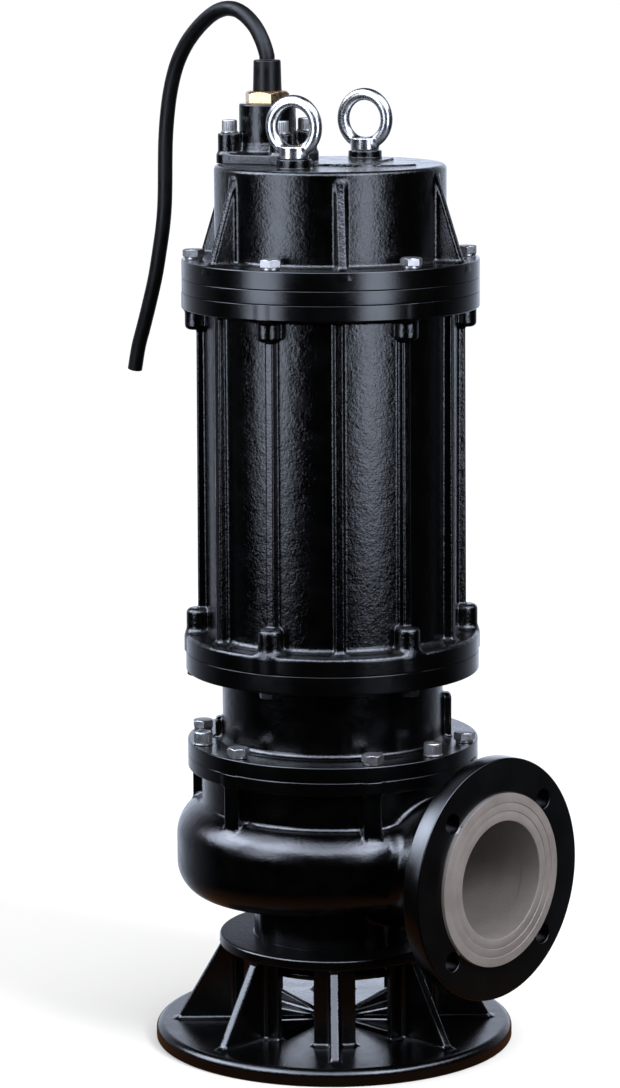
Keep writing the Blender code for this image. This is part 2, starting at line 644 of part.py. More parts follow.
def eye_bolt(name, degrees):
    """Lifting eye: a ring on a collar, its opening facing outward from the axis."""
    wire = 0.0054
    ring_r = 0.0216
    collar_r = 0.0125
    collar = 0.0105
    chamfer = 0.0012
    centre = EYE_RING_TOP - ring_r - wire
    foot = EYE_BOSS_TOP + SEAT_GAP
    top = foot + collar
    outline = [(0.0, top), (collar_r - chamfer, top), (collar_r, top - chamfer), (collar_r, foot + chamfer),
               (collar_r - chamfer, foot), (0.0, foot)]
    body = turned(name, outline, PARTS, 24)
    bm = bmesh.new()
    major = 28
    minor = 8
    rings = []
    for i in range(major):
        a = 2 * math.pi * i / major
        ring = []
        for j in range(minor):
            b = 2 * math.pi * j / minor
            r = ring_r + wire * math.cos(b)
            ring.append(bm.verts.new((wire * math.sin(b), r * math.cos(a), centre + r * math.sin(a))))
        rings.append(ring)
    for i in range(major):
        one = rings[i]
        two = rings[(i + 1) % major]
        for j in range(minor):
            k = (j + 1) % minor
            bm.faces.new((one[j], one[k], two[k], two[j]))
    bmesh.ops.recalc_face_normals(bm, faces=bm.faces)
    mesh = bpy.data.meshes.new(name + "_ring")
    bm.to_mesh(mesh)
    bm.free()
    ring = add_mesh(name + "_ring", mesh, TOOLS)
    combine(body, [ring], "UNION")
    body.data.transform(around(degrees, EYE_R))
    return finish(body, STEEL)


def hex_bolt_mesh(washer_r, washer_height, head_r, head_height):
    """A hexagon head on its washer; the foot of the washer is at zero height."""
    sunk = washer_height - 0.0005
    top = washer_height + head_height
    washer = rod("hex_washer", washer_r, (0, 0, 0), (0, 0, washer_height), TOOLS, 12)
    head = rod("hex_head", head_r, (0, 0, sunk), (0, 0, top), TOOLS, 6)
    combine(washer, [head], "UNION")
    mesh = washer.data.copy()
    bpy.data.objects.remove(washer, do_unlink=True)
    return mesh


def socket_screw_mesh(head_r, head, washer_r, washer, socket_r):
    """A socket head cap screw on a washer, with its key socket open at the top."""
    body = rod("socket_screw", head_r, (0, 0, 0), (0, 0, washer + head), TOOLS, 12)
    disc = rod("socket_washer", washer_r, (0, 0, 0), (0, 0, washer), TOOLS, 12)
    key = rod("key_socket", socket_r, (0, 0, washer + head * 0.45), (0, 0, washer + head * 1.2), TOOLS, 6)
    combine(body, [disc], "UNION")
    combine(body, [key], "DIFFERENCE")
    mesh = body.data.copy()
    bpy.data.objects.remove(body, do_unlink=True)
    return mesh


def place_fasteners(prefix, mesh, places):
    for number, place in enumerate(places, 1):
        one = add_mesh(f"{prefix}_{number}", mesh.copy(), PARTS)
        one.data.transform(place)
        finish(one, STEEL)


def fasteners():
    bolt = hex_bolt_mesh(0.0080, 0.0022, 0.0097, 0.0066)
    thin_bolt = hex_bolt_mesh(0.0085, 0.0012, 0.0095, 0.0043)
    big = socket_screw_mesh(0.0079, 0.0100, 0.0086, 0.0014, 0.0042)
    small = socket_screw_mesh(0.0066, 0.0098, 0.0076, 0.0014, 0.0033)
    on_cap = CAP_FLANGE_TOP + SEAT_GAP
    under_motor = MOTOR_FLANGE_BOTTOM - SEAT_GAP
    on_cover = COVER_FLANGE_TOP + SEAT_GAP
    upside_down = Matrix.Rotation(math.pi, 4, "X")
    hanging = [place @ upside_down for place in ring_of(6, MOTOR_TURN, BOLT_CIRCLE_R, under_motor)]
    on_posts = around(GLAND_DEG, GLAND_R, GLAND_POST_TOP + SEAT_GAP)
    place_fasteners("cap_bolt", bolt, ring_of(6, CAP_BOLT_TURN, BOLT_CIRCLE_R, on_cap))
    place_fasteners("motor_foot_bolt", thin_bolt, hanging)
    place_fasteners("cover_bolt", bolt, ring_of(6, COVER_BOLT_TURN, BOLT_CIRCLE_R, on_cover))
    place_fasteners("cover_screw", big, ring_of(3, COVER_SCREW_TURN, BOLT_CIRCLE_R, on_cover))
    place_fasteners("gland_screw", small, [on_posts @ corner for corner in gland_corners()])


clear_scene()
PARTS = collection("submersible_sewage_pump")
TOOLS = collection("cutters")
base_stand()
volute_casing()
impeller()
oil_chamber()
motor_body()
bearing_plate()
top_cap()
gland_box()
gland_nut()
cable_boot()
power_cable()
for number, degrees in enumerate(EYE_DEG, 1):
    eye_bolt(f"eye_bolt_{number}", degrees)
fasteners()
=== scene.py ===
"""Looks of the submersible sewage pump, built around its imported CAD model.

Lengths are metres, +Z is up and +X points out of the discharge flange, as in the CAD model.
"""
import math

import bmesh
import bpy
import numpy as np
from mathutils import Matrix, Vector


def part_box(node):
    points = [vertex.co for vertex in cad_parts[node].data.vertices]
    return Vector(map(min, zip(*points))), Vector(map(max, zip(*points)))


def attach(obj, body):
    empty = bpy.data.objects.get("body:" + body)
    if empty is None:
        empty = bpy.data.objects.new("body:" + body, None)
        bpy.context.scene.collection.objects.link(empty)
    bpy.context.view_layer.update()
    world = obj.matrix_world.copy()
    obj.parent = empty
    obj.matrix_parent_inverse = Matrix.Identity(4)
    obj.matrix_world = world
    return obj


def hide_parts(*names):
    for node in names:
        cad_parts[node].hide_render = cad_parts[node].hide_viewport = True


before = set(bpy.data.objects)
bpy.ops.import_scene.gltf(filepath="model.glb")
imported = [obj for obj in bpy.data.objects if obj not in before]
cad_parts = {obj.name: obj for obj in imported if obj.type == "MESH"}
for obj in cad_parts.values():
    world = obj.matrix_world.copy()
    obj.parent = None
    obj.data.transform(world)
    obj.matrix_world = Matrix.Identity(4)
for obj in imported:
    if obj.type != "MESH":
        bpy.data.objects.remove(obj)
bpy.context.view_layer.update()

# Levels, read from the CAD model's nodes
STAND_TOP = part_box("base_stand")[1].z
VOLUTE_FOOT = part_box("volute_casing")[0].z
OIL_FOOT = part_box("oil_chamber")[0].z
OIL_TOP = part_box("oil_chamber")[1].z
MOTOR_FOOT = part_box("motor_body")[0].z
MOTOR_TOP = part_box("motor_body")[1].z
BEARING_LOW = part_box("bearing_plate")[0].z
BEARING_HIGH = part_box("bearing_plate")[1].z
CAP_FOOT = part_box("top_cap")[0].z
PAD_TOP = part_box("top_cap")[1].z
BOX_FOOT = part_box("gland_box")[0].z
TOWER_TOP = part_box("gland_box")[1].z
NUT_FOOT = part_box("gland_nut")[0].z
NUT_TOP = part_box("gland_nut")[1].z
BOOT_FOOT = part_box("cable_boot")[0].z
BOOT_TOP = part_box("cable_boot")[1].z
FLANGE_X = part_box("volute_casing")[1].x

# Levels inside a node
FOOT_TOP = 0.0152
STAND_PLATE_BOTTOM = 0.0862
VOLUTE_MID = 0.1752
SCROLL_BOTTOM = 0.1390
NECK_FOOT = 0.2175
COVER_FLANGE_BOTTOM = 0.2485
COVER_JOINT = 0.2600
COVER_FLANGE_TOP = 0.2735
MOTOR_FLANGE_BOTTOM = 0.3363
MOTOR_FLANGE_TOP = 0.3690
TOP_FLANGE_BOTTOM = 0.6560
CAP_FLANGE_TOP = 0.6982
CAP_TOP = 0.7795
BOX_PLATE_TOP = 0.7880
POST_TOP = 0.8055

# Radii
FOOT_R = 0.1594
STAND_PLATE_R = 0.1020
STAND_WALL_R = 0.0900
STAND_WALL = 0.0080
SUCTION_NECK_R = 0.0710
BORE_R = 0.0515
NECK_R = 0.1165
COVER_FLANGE_R = 0.1285
OIL_CHAMBER_R = 0.0975
MOTOR_FLANGE_R = 0.1293
MOTOR_CORE_R = 0.1100
RIB_TOP_R = 0.1172
RIB_FOOT_R = 0.1184
TOP_FLANGE_R = 0.1296
CAP_R = 0.1007
FLANGE_R = 0.1057
FLANGE_FACE_R = 0.0755
FLANGE_THICK = 0.0164
FLANGE_RAISE = 0.0036
FLANGE_BOLTS_R = 0.0850
FLANGE_HOLE_R = 0.0090
BOLTS_R = 0.1190

# Angles about the axis, in degrees from the discharge
LEG_TURN = -2.3
COVER_BOLT_TURN = -31.0
COVER_SCREW_TURN = -1.0
NECK_BOSS_TURN = -32.0
CAP_BOLT_TURN = -12.8
MOTOR_TURN = -14.4
GLAND_DEG = -162.0
GLAND_R = 0.0596
GLAND_POST_AT = 0.0248
EYE_DEG = (-77.3, 102.7)
EYE_R = 0.0620
SCROLL_START = -28.0
SCROLL_TURN = 324.0
SEAT = 0.0003

# Power cable
CABLE_D = 0.0135
CABLE_PLANE_DEG = 172.71
CABLE_ROUTE = [(0.0000, 0.8684), (0.0000, 0.8710), (0.0022, 0.8765), (0.0066, 0.8845), (0.0147, 0.8948),
               (0.0265, 0.9037), (0.0390, 0.9093), (0.0520, 0.9110), (0.0650, 0.9092), (0.0770, 0.9047),
               (0.0885, 0.8982), (0.0995, 0.8905), (0.1100, 0.8815), (0.1190, 0.8715), (0.1265, 0.8605),
               (0.1325, 0.8480), (0.1380, 0.8315), (0.1420, 0.8125), (0.1445, 0.7930), (0.1456, 0.7720),
               (0.1467, 0.7400), (0.1495, 0.7170), (0.1550, 0.6935), (0.1620, 0.6680), (0.1705, 0.6450),
               (0.1800, 0.6215), (0.1885, 0.6015), (0.1945, 0.5800)]

SCENE = bpy.context.scene


def link(obj):
    SCENE.collection.objects.link(obj)
    return obj


def around(degrees, radius=0.0, height=0.0):
    """The place of something at an angle about the pump's axis, turned to face outward."""
    return Matrix.Rotation(math.radians(degrees), 4, "Z") @ Matrix.Translation((radius, 0.0, height))


def ring_of(count, turn=0.0, radius=0.0, height=0.0):
    return [around(turn + 360.0 / count * i, radius, height) for i in range(count)]


# Camera

def make_camera():
    """The photograph's viewpoint, fitted to the edges of the flanges, the foot disc and the bolt circle."""
    focal_px = 3785.0
    photo_height_px = 1088
    azimuth = math.radians(42.71)
    tilt = math.radians(9.848)
    roll = math.radians(0.323)
    distance = 3.2803
    height = 1.0153
    side = 0.0193
    right = Vector((math.cos(azimuth), math.sin(azimuth), 0.0))
    level = Vector((-math.sin(azimuth), math.cos(azimuth), 0.0))
    rise = Vector((0.0, 0.0, 1.0))
    forward = level * math.cos(tilt) - rise * math.sin(tilt)
    up = level * math.sin(tilt) + rise * math.cos(tilt)
    rolled_right = right * math.cos(roll) - up * math.sin(roll)
    rolled_up = right * math.sin(roll) + up * math.cos(roll)
    data = bpy.data.cameras.new("camera")
    data.sensor_fit = "VERTICAL"
    data.sensor_height = 36.0
    data.lens = focal_px / photo_height_px * data.sensor_height
    camera = link(bpy.data.objects.new("camera", data))
    place = Matrix((rolled_right, rolled_up, -forward)).transposed().to_4x4()
    place.translation = rise * height - level * distance - right * side
    camera.matrix_world = place
    SCENE.camera = camera


# Materials

class Shader:
    """Builds one node material; coordinates are the object's own, in metres."""

    def __init__(self, name, colour, roughness, metallic=0.0):
        self.material = bpy.data.materials.new(name)
        self.material.use_nodes = True
        self.tree = self.material.node_tree
        self.principled = self.tree.nodes["Principled BSDF"]
        self.place = self.node("ShaderNodeTexCoord").outputs["Object"]
        self.set("Base Color", (*colour, 1.0))
        self.set("Roughness", roughness)
        self.set("Metallic", metallic)

    def node(self, kind, **values):
        made = self.tree.nodes.new(kind)
        for key, value in values.items():
            if hasattr(made, key):
                setattr(made, key, value)
            else:
                made.inputs[key.replace("_", " ")].default_value = value
        return made

    def set(self, socket, value):
        """A number or colour goes on the socket; an output is linked to it."""
        if isinstance(value, bpy.types.NodeSocket):
            self.tree.links.new(value, self.principled.inputs[socket])
        else:
            self.principled.inputs[socket].default_value = value

    def wire(self, output, node, socket):
        self.tree.links.new(output, node.inputs[socket])
        return node

    def stretched(self, scale):
        """The coordinates, scaled along each axis."""
        mapping = self.node("ShaderNodeMapping", Scale=scale)
        self.wire(self.place, mapping, "Vector")
        return mapping.outputs["Vector"]

    def noise(self, scale, detail=2.0, roughness=0.5, vector=None):
        noise = self.node("ShaderNodeTexNoise", Scale=scale, Detail=detail, Roughness=roughness)
        self.wire(self.place if vector is None else vector, noise, "Vector")
        return noise.outputs["Fac"]

    def rings(self, scale, distortion=0.3):
        """Fine lines round the vertical axis, as a lathe leaves on a rim."""
        wave = self.node("ShaderNodeTexWave", wave_type="BANDS", bands_direction="Z", Scale=scale,
                         Distortion=distortion, Detail=2.0)
        self.wire(self.place, wave, "Vector")
        return wave.outputs["Fac"]

    def remap(self, value, low, high, to_low, to_high):
        node = self.node("ShaderNodeMapRange")
        self.wire(value, node, "Value")
        for socket, number in zip(("From Min", "From Max", "To Min", "To Max"), (low, high, to_low, to_high)):
            node.inputs[socket].default_value = number
        return node.outputs["Result"]

    def ramp(self, value, stops):
        node = self.node("ShaderNodeValToRGB")
        self.wire(value, node, "Fac")
        elements = node.color_ramp.elements
        while len(elements) < len(stops):
            elements.new(0.5)
        for element, (at, colour) in zip(elements, stops):
            element.position = at
            element.color = (*colour, 1.0)
        return node.outputs["Color"]

    def math(self, operation, a, b):
        node = self.node("ShaderNodeMath", operation=operation)
        for i, value in enumerate((a, b)):
            if isinstance(value, bpy.types.NodeSocket):
                self.tree.links.new(value, node.inputs[i])
            else:
                node.inputs[i].default_value = value
        return node.outputs[0]

    def bump(self, height, depth, strength=1.0, below=None):
        """Bump of a real depth in metres, on top of another bump if one is given."""
        node = self.node("ShaderNodeBump", Distance=depth, Strength=strength)
        self.wire(height, node, "Height")
        if below is not None:
            self.wire(below, node, "Normal")
        return node.outputs["Normal"]


def cast_paint(name, depth=1.0, gloss=0.15, grain=1.0):
    """Glossy black paint over a sand casting: soft orange peel, with finer grain in it."""
    s = Shader(name, (0.0005, 0.0005, 0.0006), gloss)
    swell = s.noise(120.0 * grain, 2.0, 0.5)
    peel = s.noise(430.0 * grain, 3.0, 0.65)
    first = s.bump(swell, 0.00040 * depth)
    s.set("Normal", s.bump(peel, 0.00036 * depth, below=first))
    s.set("Roughness", s.remap(s.noise(60.0, 3.0), 0.3, 0.7, gloss - 0.04, gloss + 0.06))
    s.set("Specular IOR Level", 0.5)
    return s.material


def turned_paint(name):
    """Black paint on a machined rim: satin, with the cutter's fine lines round it."""
    s = Shader(name, (0.0005, 0.0005, 0.0006), 0.20)
    first = s.bump(s.rings(900.0, 0.6), 0.000010)
    s.set("Normal", s.bump(s.noise(700.0, 2.0), 0.000010, below=first))
    s.set("Roughness", s.remap(s.noise(40.0, 3.0), 0.3, 0.7, 0.17, 0.24))
    return s.material


def plate_paint(name, gloss):
    """Glossy black paint over smooth plate, with a fine orange peel."""
    s = Shader(name, (0.0005, 0.0005, 0.0006), gloss)
    first = s.bump(s.noise(70.0, 2.0), 0.00012)
    s.set("Normal", s.bump(s.noise(480.0, 3.0, 0.6), 0.00016, below=first))
    s.set("Roughness", s.remap(s.noise(30.0, 3.0), 0.3, 0.7, gloss - 0.04, gloss + 0.06))
    return s.material


def primer(name, depth=1.0):
    """Warm grey primer left bare on the sealing face and in the bore."""
    s = Shader(name, (0.2, 0.18, 0.17), 0.42)
    speckle = s.noise(900.0, 3.0, 0.6)
    cloud = s.noise(28.0, 4.0, 0.55)
    both = s.math("ADD", s.math("MULTIPLY", speckle, 0.35), s.math("MULTIPLY", cloud, 0.65))
    s.set("Base Color", s.ramp(both, [(0.34, (0.150, 0.132, 0.130)), (0.5, (0.190, 0.170, 0.168)),
                                      (0.66, (0.225, 0.203, 0.200))]))
    s.set("Normal", s.bump(s.noise(520.0, 3.0, 0.6), 0.00012 * depth))
    return s.material


def steel(name, colour=(0.36, 0.355, 0.35), roughness=0.40):
    """Bright stainless steel with faint rubbing marks."""
    s = Shader(name, colour, roughness, 1.0)
    s.set("Roughness", s.remap(s.noise(220.0, 4.0, 0.6), 0.25, 0.75, roughness - 0.07, roughness + 0.12))
    first = s.bump(s.noise(260.0, 2.0), 0.00008)
    s.set("Normal", s.bump(s.noise(2400.0, 2.0), 0.00001, below=first))
    return s.material


def brass(name):
    s = Shader(name, (0.66, 0.43, 0.24), 0.26, 1.0)
    s.set("Roughness", s.remap(s.noise(300.0, 3.0), 0.3, 0.7, 0.20, 0.36))
    s.set("Normal", s.bump(s.rings(1100.0, 0.3), 0.00002))
    return s.material


def dull_paint(name):
    """Matt dusty black on the plate under the casing, with cast specks."""
    s = Shader(name, (0.0030, 0.0031, 0.0034), 0.45)
    s.set("Normal", s.bump(s.noise(330.0, 3.0, 0.6), 0.00050))
    s.set("Specular IOR Level", 0.10)
    return s.material


def rubber(name, roughness=0.42, grain=900.0, depth=0.00008, colour=(0.0015, 0.0015, 0.0016)):
    s = Shader(name, colour, roughness)
    s.set("Specular IOR Level", 0.25)
    s.set("Normal", s.bump(s.noise(grain, 3.0), depth))
    s.set("Roughness", s.remap(s.noise(90.0, 3.0), 0.3, 0.7, roughness - 0.06, roughness + 0.08))
    return s.material


def bare_iron(name):
    s = Shader(name, (0.09, 0.08, 0.075), 0.6, 0.5)
    s.set("Base Color", s.ramp(s.noise(60.0, 5.0, 0.6), [(0.3, (0.045, 0.038, 0.034)), (0.7, (0.13, 0.115, 0.105))]))
    s.set("Normal", s.bump(s.noise(350.0, 3.0), 0.0004))
    return s.material


CAST = cast_paint("cast_black_paint")
CAST_FINE = cast_paint("cast_black_paint_fine", depth=0.5, gloss=0.17, grain=1.25)
TURNED = turned_paint("turned_black_paint")
PLATE = plate_paint("plate_black_paint", 0.20)
FACE = plate_paint("face_black_paint", 0.34)
DULL = dull_paint("dull_black_paint")
PRIMER = primer("grey_primer")
PRIMER_CAST = primer("grey_primer_cast", 3.0)
STEEL = steel("stainless_steel")
POLISHED = steel("polished_steel", (0.52, 0.515, 0.51), 0.24)
WASHER = steel("washer_steel", (0.42, 0.41, 0.40), 0.33)
DARK_STEEL = steel("dark_steel", (0.045, 0.045, 0.047), 0.34)
BRASS = brass("machined_brass")
BOOT_RUBBER = rubber("boot_rubber", 0.36)
SHEATH = rubber("cable_sheath", 0.46, 500.0, 0.00012)
IRON = bare_iron("bare_cast_iron")


# Solids as distance functions: negative inside

def join(a, b, radius):
    """Union with a round fillet in the corner between the two."""
    return (np.maximum(radius, np.minimum(a, b))
            - np.hypot(np.maximum(radius - a, 0.0), np.maximum(radius - b, 0.0)))


def meet(a, b, radius):
    """Intersection with its edge rounded."""
    return (np.minimum(-radius, np.maximum(a, b))
            + np.hypot(np.maximum(radius + a, 0.0), np.maximum(radius + b, 0.0)))


def cut(a, b, radius):
    return meet(a, -b, radius)


def band(value, low, high):
    return np.maximum(low - value, value - high)


def disc(r, z, radius, low, high, low_edge, high_edge):
    """A turned disc whose lower and upper edges are rounded."""
    return meet(meet(r - radius, z - high, high_edge), low - z, low_edge)


def slope(r, z, start, end):
    """Distance from the line through two (radius, height) points; its left side, walking it, is inside."""
    run = end[0] - start[0]
    rise = end[1] - start[1]
    length = math.hypot(run, rise)
    return ((r - start[0]) * rise - (z - start[1]) * run) / length


def polar(x, y):
    return np.hypot(x, y), np.degrees(np.arctan2(y, x))


def fold(x, y, count, turn):
    """Coordinates outward and sideways from the nearest of several places round the axis."""
    r, phi = polar(x, y)
    step = 360.0 / count
    offset = np.radians(np.mod(phi - turn + step / 2, step) - step / 2)
    return r * np.cos(offset), r * np.sin(offset)


def turned_to(x, y, degrees, radius=0.0):
    """Coordinates outward and sideways from one place on the circle."""
    c = math.cos(math.radians(degrees))
    s = math.sin(math.radians(degrees))
    return x * c + y * s - radius, y * c - x * s


def lines(*runs):
    """Grid lines: each run is (start, stop, step), and the next one starts where it stops."""
    places = []
    for start, stop, step in runs:
        places.append(np.linspace(start, stop, max(1, round((stop - start) / step)), endpoint=False))
    return np.append(np.concatenate(places), runs[-1][1])


def polar_grid(radii, columns, heights, axis="Z", centre=(0.0, 0.0, 0.0)):
    """Points of a cylindrical grid about a vertical axis, or about X."""
    turn = np.linspace(0.0, 2.0 * math.pi, columns, endpoint=False)
    r, a, h = np.meshgrid(radii, turn, heights, indexing="ij")
    across = r * np.cos(a)
    along = r * np.sin(a)
    if axis == "X":
        return (h + centre[0], across + centre[1], along + centre[2]), True
    return (across + centre[0], along + centre[1], h + centre[2]), True


def box_grid(xs, ys, zs):
    return tuple(np.meshgrid(xs, ys, zs, indexing="ij")), False


def slopes(solid, points, reach=0.0001):
    """Outward direction of the distance function at points."""
    found = np.empty_like(points)
    for axis in range(3):
        step = np.zeros(3)
        step[axis] = reach
        ahead = solid(*(points + step).T)
        behind = solid(*(points - step).T)
        found[:, axis] = (ahead - behind) / (2 * reach)
    return found


def surface_net(solid, grid):
    """Vertices and quads of the surface where the distance function is zero."""
    (px, py, pz), closed = grid
    value = solid(px, py, pz)
    if closed:
        px, py, pz, value = (np.concatenate([a, a[:, :1]], axis=1) for a in (px, py, pz, value))
    inside = value < 0.0
    ni, nj, nk = (n - 1 for n in value.shape)
    total = ni * nj * nk
    sums = np.zeros((4, total))
    edges = []
    for axis in range(3):
        head = [slice(None)] * 3
        tail = [slice(None)] * 3
        head[axis] = slice(1, None)
        tail[axis] = slice(None, -1)
        if closed and axis != 1:
            head[1] = tail[1] = slice(None, -1)
        head = tuple(head)
        tail = tuple(tail)
        at = np.nonzero(inside[tail] != inside[head])
        a = value[tail][at]
        b = value[head][at]
        t = a / (a - b)
        crossing = [p[tail][at] * (1 - t) + p[head][at] * t for p in (px, py, pz)]
        one, two = ((1, 2), (2, 0), (0, 1))[axis]
        corners = []
        valid = np.ones(len(t), bool)
        for back_one, back_two in ((1, 1), (0, 1), (0, 0), (1, 0)):
            cell = [c.copy() for c in at]
            cell[one] = cell[one] - back_one
            cell[two] = cell[two] - back_two
            if closed:
                cell[1] = cell[1] % nj
            fits = np.ones(len(t), bool)
            for c, n in zip(cell, (ni, nj, nk)):
                fits &= (c >= 0) & (c < n)
            flat = (cell[0] * nj + cell[1]) * nk + cell[2]
            for row, weight in zip(sums, (*crossing, np.ones(len(t)))):
                row += np.bincount(flat[fits], weights=weight[fits], minlength=total)
            corners.append(flat)
            valid &= fits
        quads = np.stack(corners, axis=1)[valid]
        outward = a[valid] < 0.0
        quads[~outward] = quads[~outward][:, ::-1]
        edges.append(quads)
    used = np.nonzero(sums[3] > 0)[0]
    index = np.full(total, -1)
    index[used] = np.arange(len(used))
    vertices = (sums[:3, used] / sums[3, used]).T
    return vertices, index[np.concatenate(edges)]


def rim_loops(quads):
    """Loops of edges that only one face uses, in the order that a face closing them would run."""
    a = quads.ravel()
    b = np.roll(quads, -1, axis=1).ravel()
    low, high = np.minimum(a, b), np.maximum(a, b)
    _, inverse, counts = np.unique(low * (quads.max() + 1) + high, return_inverse=True, return_counts=True)
    alone = counts[inverse] == 1
    following = dict(zip(b[alone].tolist(), a[alone].tolist()))
    loops = []
    while following:
        start, vertex = following.popitem()
        loop = [start]
        while vertex != start and vertex in following:
            loop.append(vertex)
            vertex = following.pop(vertex)
        loops.append(loop)
    return loops


def cast(name, solid, grid, covered=None, passes=4, longest=0.003):
    """A closed smooth mesh of a solid, with its shading taken from the distance function itself.

    covered picks the vertices of flat round faces that nothing shows; each such face becomes one fan.
    """
    vertices, quads = surface_net(solid, grid)
    for _ in range(passes):
        direction = slopes(solid, vertices)
        size = np.maximum((direction ** 2).sum(axis=1), 0.04)
        step = direction * (solid(*vertices.T) / size)[:, None]
        length = np.linalg.norm(step, axis=1)
        vertices -= step * np.minimum(1.0, longest / np.maximum(length, 1e-9))[:, None]
    if covered is not None:
        quads = quads[~covered(*vertices.T)[quads].all(axis=1)]
        kept, quads = np.unique(quads, return_inverse=True)
        quads = quads.reshape(-1, 4)
        vertices = vertices[kept]
    normals = slopes(solid, vertices, 0.00025)
    faces = quads.tolist()
    extra = []
    for loop in rim_loops(quads):
        if len(loop) < 3:
            continue
        middle = vertices[loop].mean(axis=0)
        centre = len(vertices) + len(extra)
        extra.append(middle)
        faces += [(a, b, centre) for a, b in zip(loop, loop[1:] + loop[:1])]
    if extra:
        vertices = np.concatenate([vertices, extra])
        normals = np.concatenate([normals, np.zeros((len(extra), 3))])
    mesh = bpy.data.meshes.new(name)
    mesh.from_pydata(vertices, [], faces)
    mesh.shade_smooth()
    normals /= np.maximum(np.linalg.norm(normals, axis=1), 1e-9)[:, None]
    mesh.normals_split_custom_set_from_vertices(normals)
    return link(bpy.data.objects.new(name, mesh))


def paint(obj, materials, rule=None):
    """Give a piece its materials; rule picks one for each face from the face centres (x, y, z)."""
    mesh = obj.data
    mesh.materials.clear()
    for material in materials:
        mesh.materials.append(material)
    if rule is not None:
        centres = np.empty(len(mesh.polygons) * 3)
        mesh.polygons.foreach_get("center", centres)
        choice = rule(*centres.reshape(-1, 3).T)
        mesh.polygons.foreach_set("material_index", choice.astype(np.int32))
    return obj


def flat_face(radius, low=-1.0, high=9.0):
    """Picks what lies below the low level or above the high one, within a radius."""
    return lambda x, y, z: ((z < low + 0.0002) | (z > high - 0.0002)) & (np.hypot(x, y) < radius)


def piece(obj, slot, *nodes):
    """Put a finished piece on the body, in place of the CAD nodes that it stands for."""
    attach(obj, "root")
    if nodes:
        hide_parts(*nodes)
    return obj


# Lathe work

def arc(centre_r, centre_z, radius, start, end, steps=6):
    points = []
    for i in range(steps + 1):
        a = math.radians(start + (end - start) * i / steps)
        points.append((centre_r + radius * math.cos(a), centre_z + radius * math.sin(a)))
    return points


def lathe(name, profile, columns, place=None, sharp=35.0):
    """A closed turned mesh from a profile that starts and ends on the axis, or closes on itself."""
    on_axis = profile[0][0] == 0.0
    bm = bmesh.new()
    rings = []
    for r, z in profile:
        if r == 0.0:
            rings.append([bm.verts.new((0.0, 0.0, z))])
            continue
        rings.append([bm.verts.new((r * math.cos(2 * math.pi * j / columns),
                                    r * math.sin(2 * math.pi * j / columns), z)) for j in range(columns)])
    pairs = list(zip(rings, rings[1:]))
    if not on_axis:
        pairs.append((rings[-1], rings[0]))
    for one, two in pairs:
        for j in range(columns):
            k = (j + 1) % columns
            if len(one) == 1:
                bm.faces.new((one[0], two[j], two[k]))
            elif len(two) == 1:
                bm.faces.new((one[j], two[0], one[k]))
            else:
                bm.faces.new((one[j], two[j], two[k], one[k]))
    bmesh.ops.recalc_face_normals(bm, faces=bm.faces)
    mesh = bpy.data.meshes.new(name)
    bm.to_mesh(mesh)
    bm.free()
    if place is not None:
        mesh.transform(place)
    mesh.shade_smooth()
    mesh.set_sharp_from_angle(angle=math.radians(sharp))
    return link(bpy.data.objects.new(name, mesh))


# Pump parts

def stand_solid(x, y, z):
    """Foot disc, curved legs with outer gussets, and the plate that carries the pump."""
    r, _ = polar(x, y)
    foot = disc(r, z, FOOT_R, 0.0, FOOT_TOP - 0.0006, 0.0015, 0.0066)
    inner = STAND_WALL_R - STAND_WALL
    wall = np.maximum(r - STAND_WALL_R, inner - r)
    half = STAND_WALL_R * math.sin(math.pi / 8) - 0.0195 * math.cos(math.pi / 8)
    out, side = fold(x, y, 8, LEG_TURN + 22.5)
    window = meet(np.abs(side) - half, z - (STAND_PLATE_BOTTOM + 0.004), 0.006)
    wall = cut(wall, window, 0.0012)
    out, side = fold(x, y, 8, LEG_TURN)
    edge = slope(out, z, (0.1405, FOOT_TOP), (0.1025, STAND_PLATE_BOTTOM - 0.004))
    web = meet(np.abs(side) - 0.0042, edge, 0.0018)
    web = np.maximum(web, STAND_WALL_R - 0.006 - out)
    rib = meet(np.abs(side) - 0.0030, (z - FOOT_TOP) * 0.98 - (out - 0.012) * 0.196, 0.0012)
    web = np.minimum(web, np.maximum(rib, np.maximum(out - STAND_WALL_R + 0.004, 0.020 - out)))
    legs = np.maximum(join(wall, web, 0.0035), 0.006 - z)
    plate = disc(r, z, STAND_PLATE_R, STAND_PLATE_BOTTOM, STAND_TOP, 0.0012, 0.0026)
    body = join(legs, foot, 0.0042)
    body = join(body, plate, 0.0035)
    body = np.maximum(body, z - STAND_TOP)
    return cut(body, np.maximum(r - BORE_R, FOOT_TOP + 0.02 - z), 0.001)


def base_stand():
    radii = lines((0.010, 0.046, 0.004), (0.046, 0.058, 0.0015), (0.058, 0.078, 0.004), (0.078, 0.106, 0.0013),
                  (0.106, 0.142, 0.0020), (0.142, 0.153, 0.0020), (0.153, 0.161, 0.0008))
    heights = lines((-0.001, 0.003, 0.0008), (0.003, 0.009, 0.002), (0.009, 0.022, 0.0009), (0.022, 0.078, 0.0028),
                    (0.078, 0.0975, 0.0009))
    obj = cast("stand", stand_solid, polar_grid(radii, 368, heights), flat_face(FOOT_R - 0.006, 0.0))

    def rule(x, y, z):
        return np.where((z > STAND_TOP - 0.0006) & (np.hypot(x, y) > SUCTION_NECK_R), 1, 0)

    paint(obj, [PLATE, DULL], rule)
    piece(obj, "fabricated_black_paint", "base_stand")


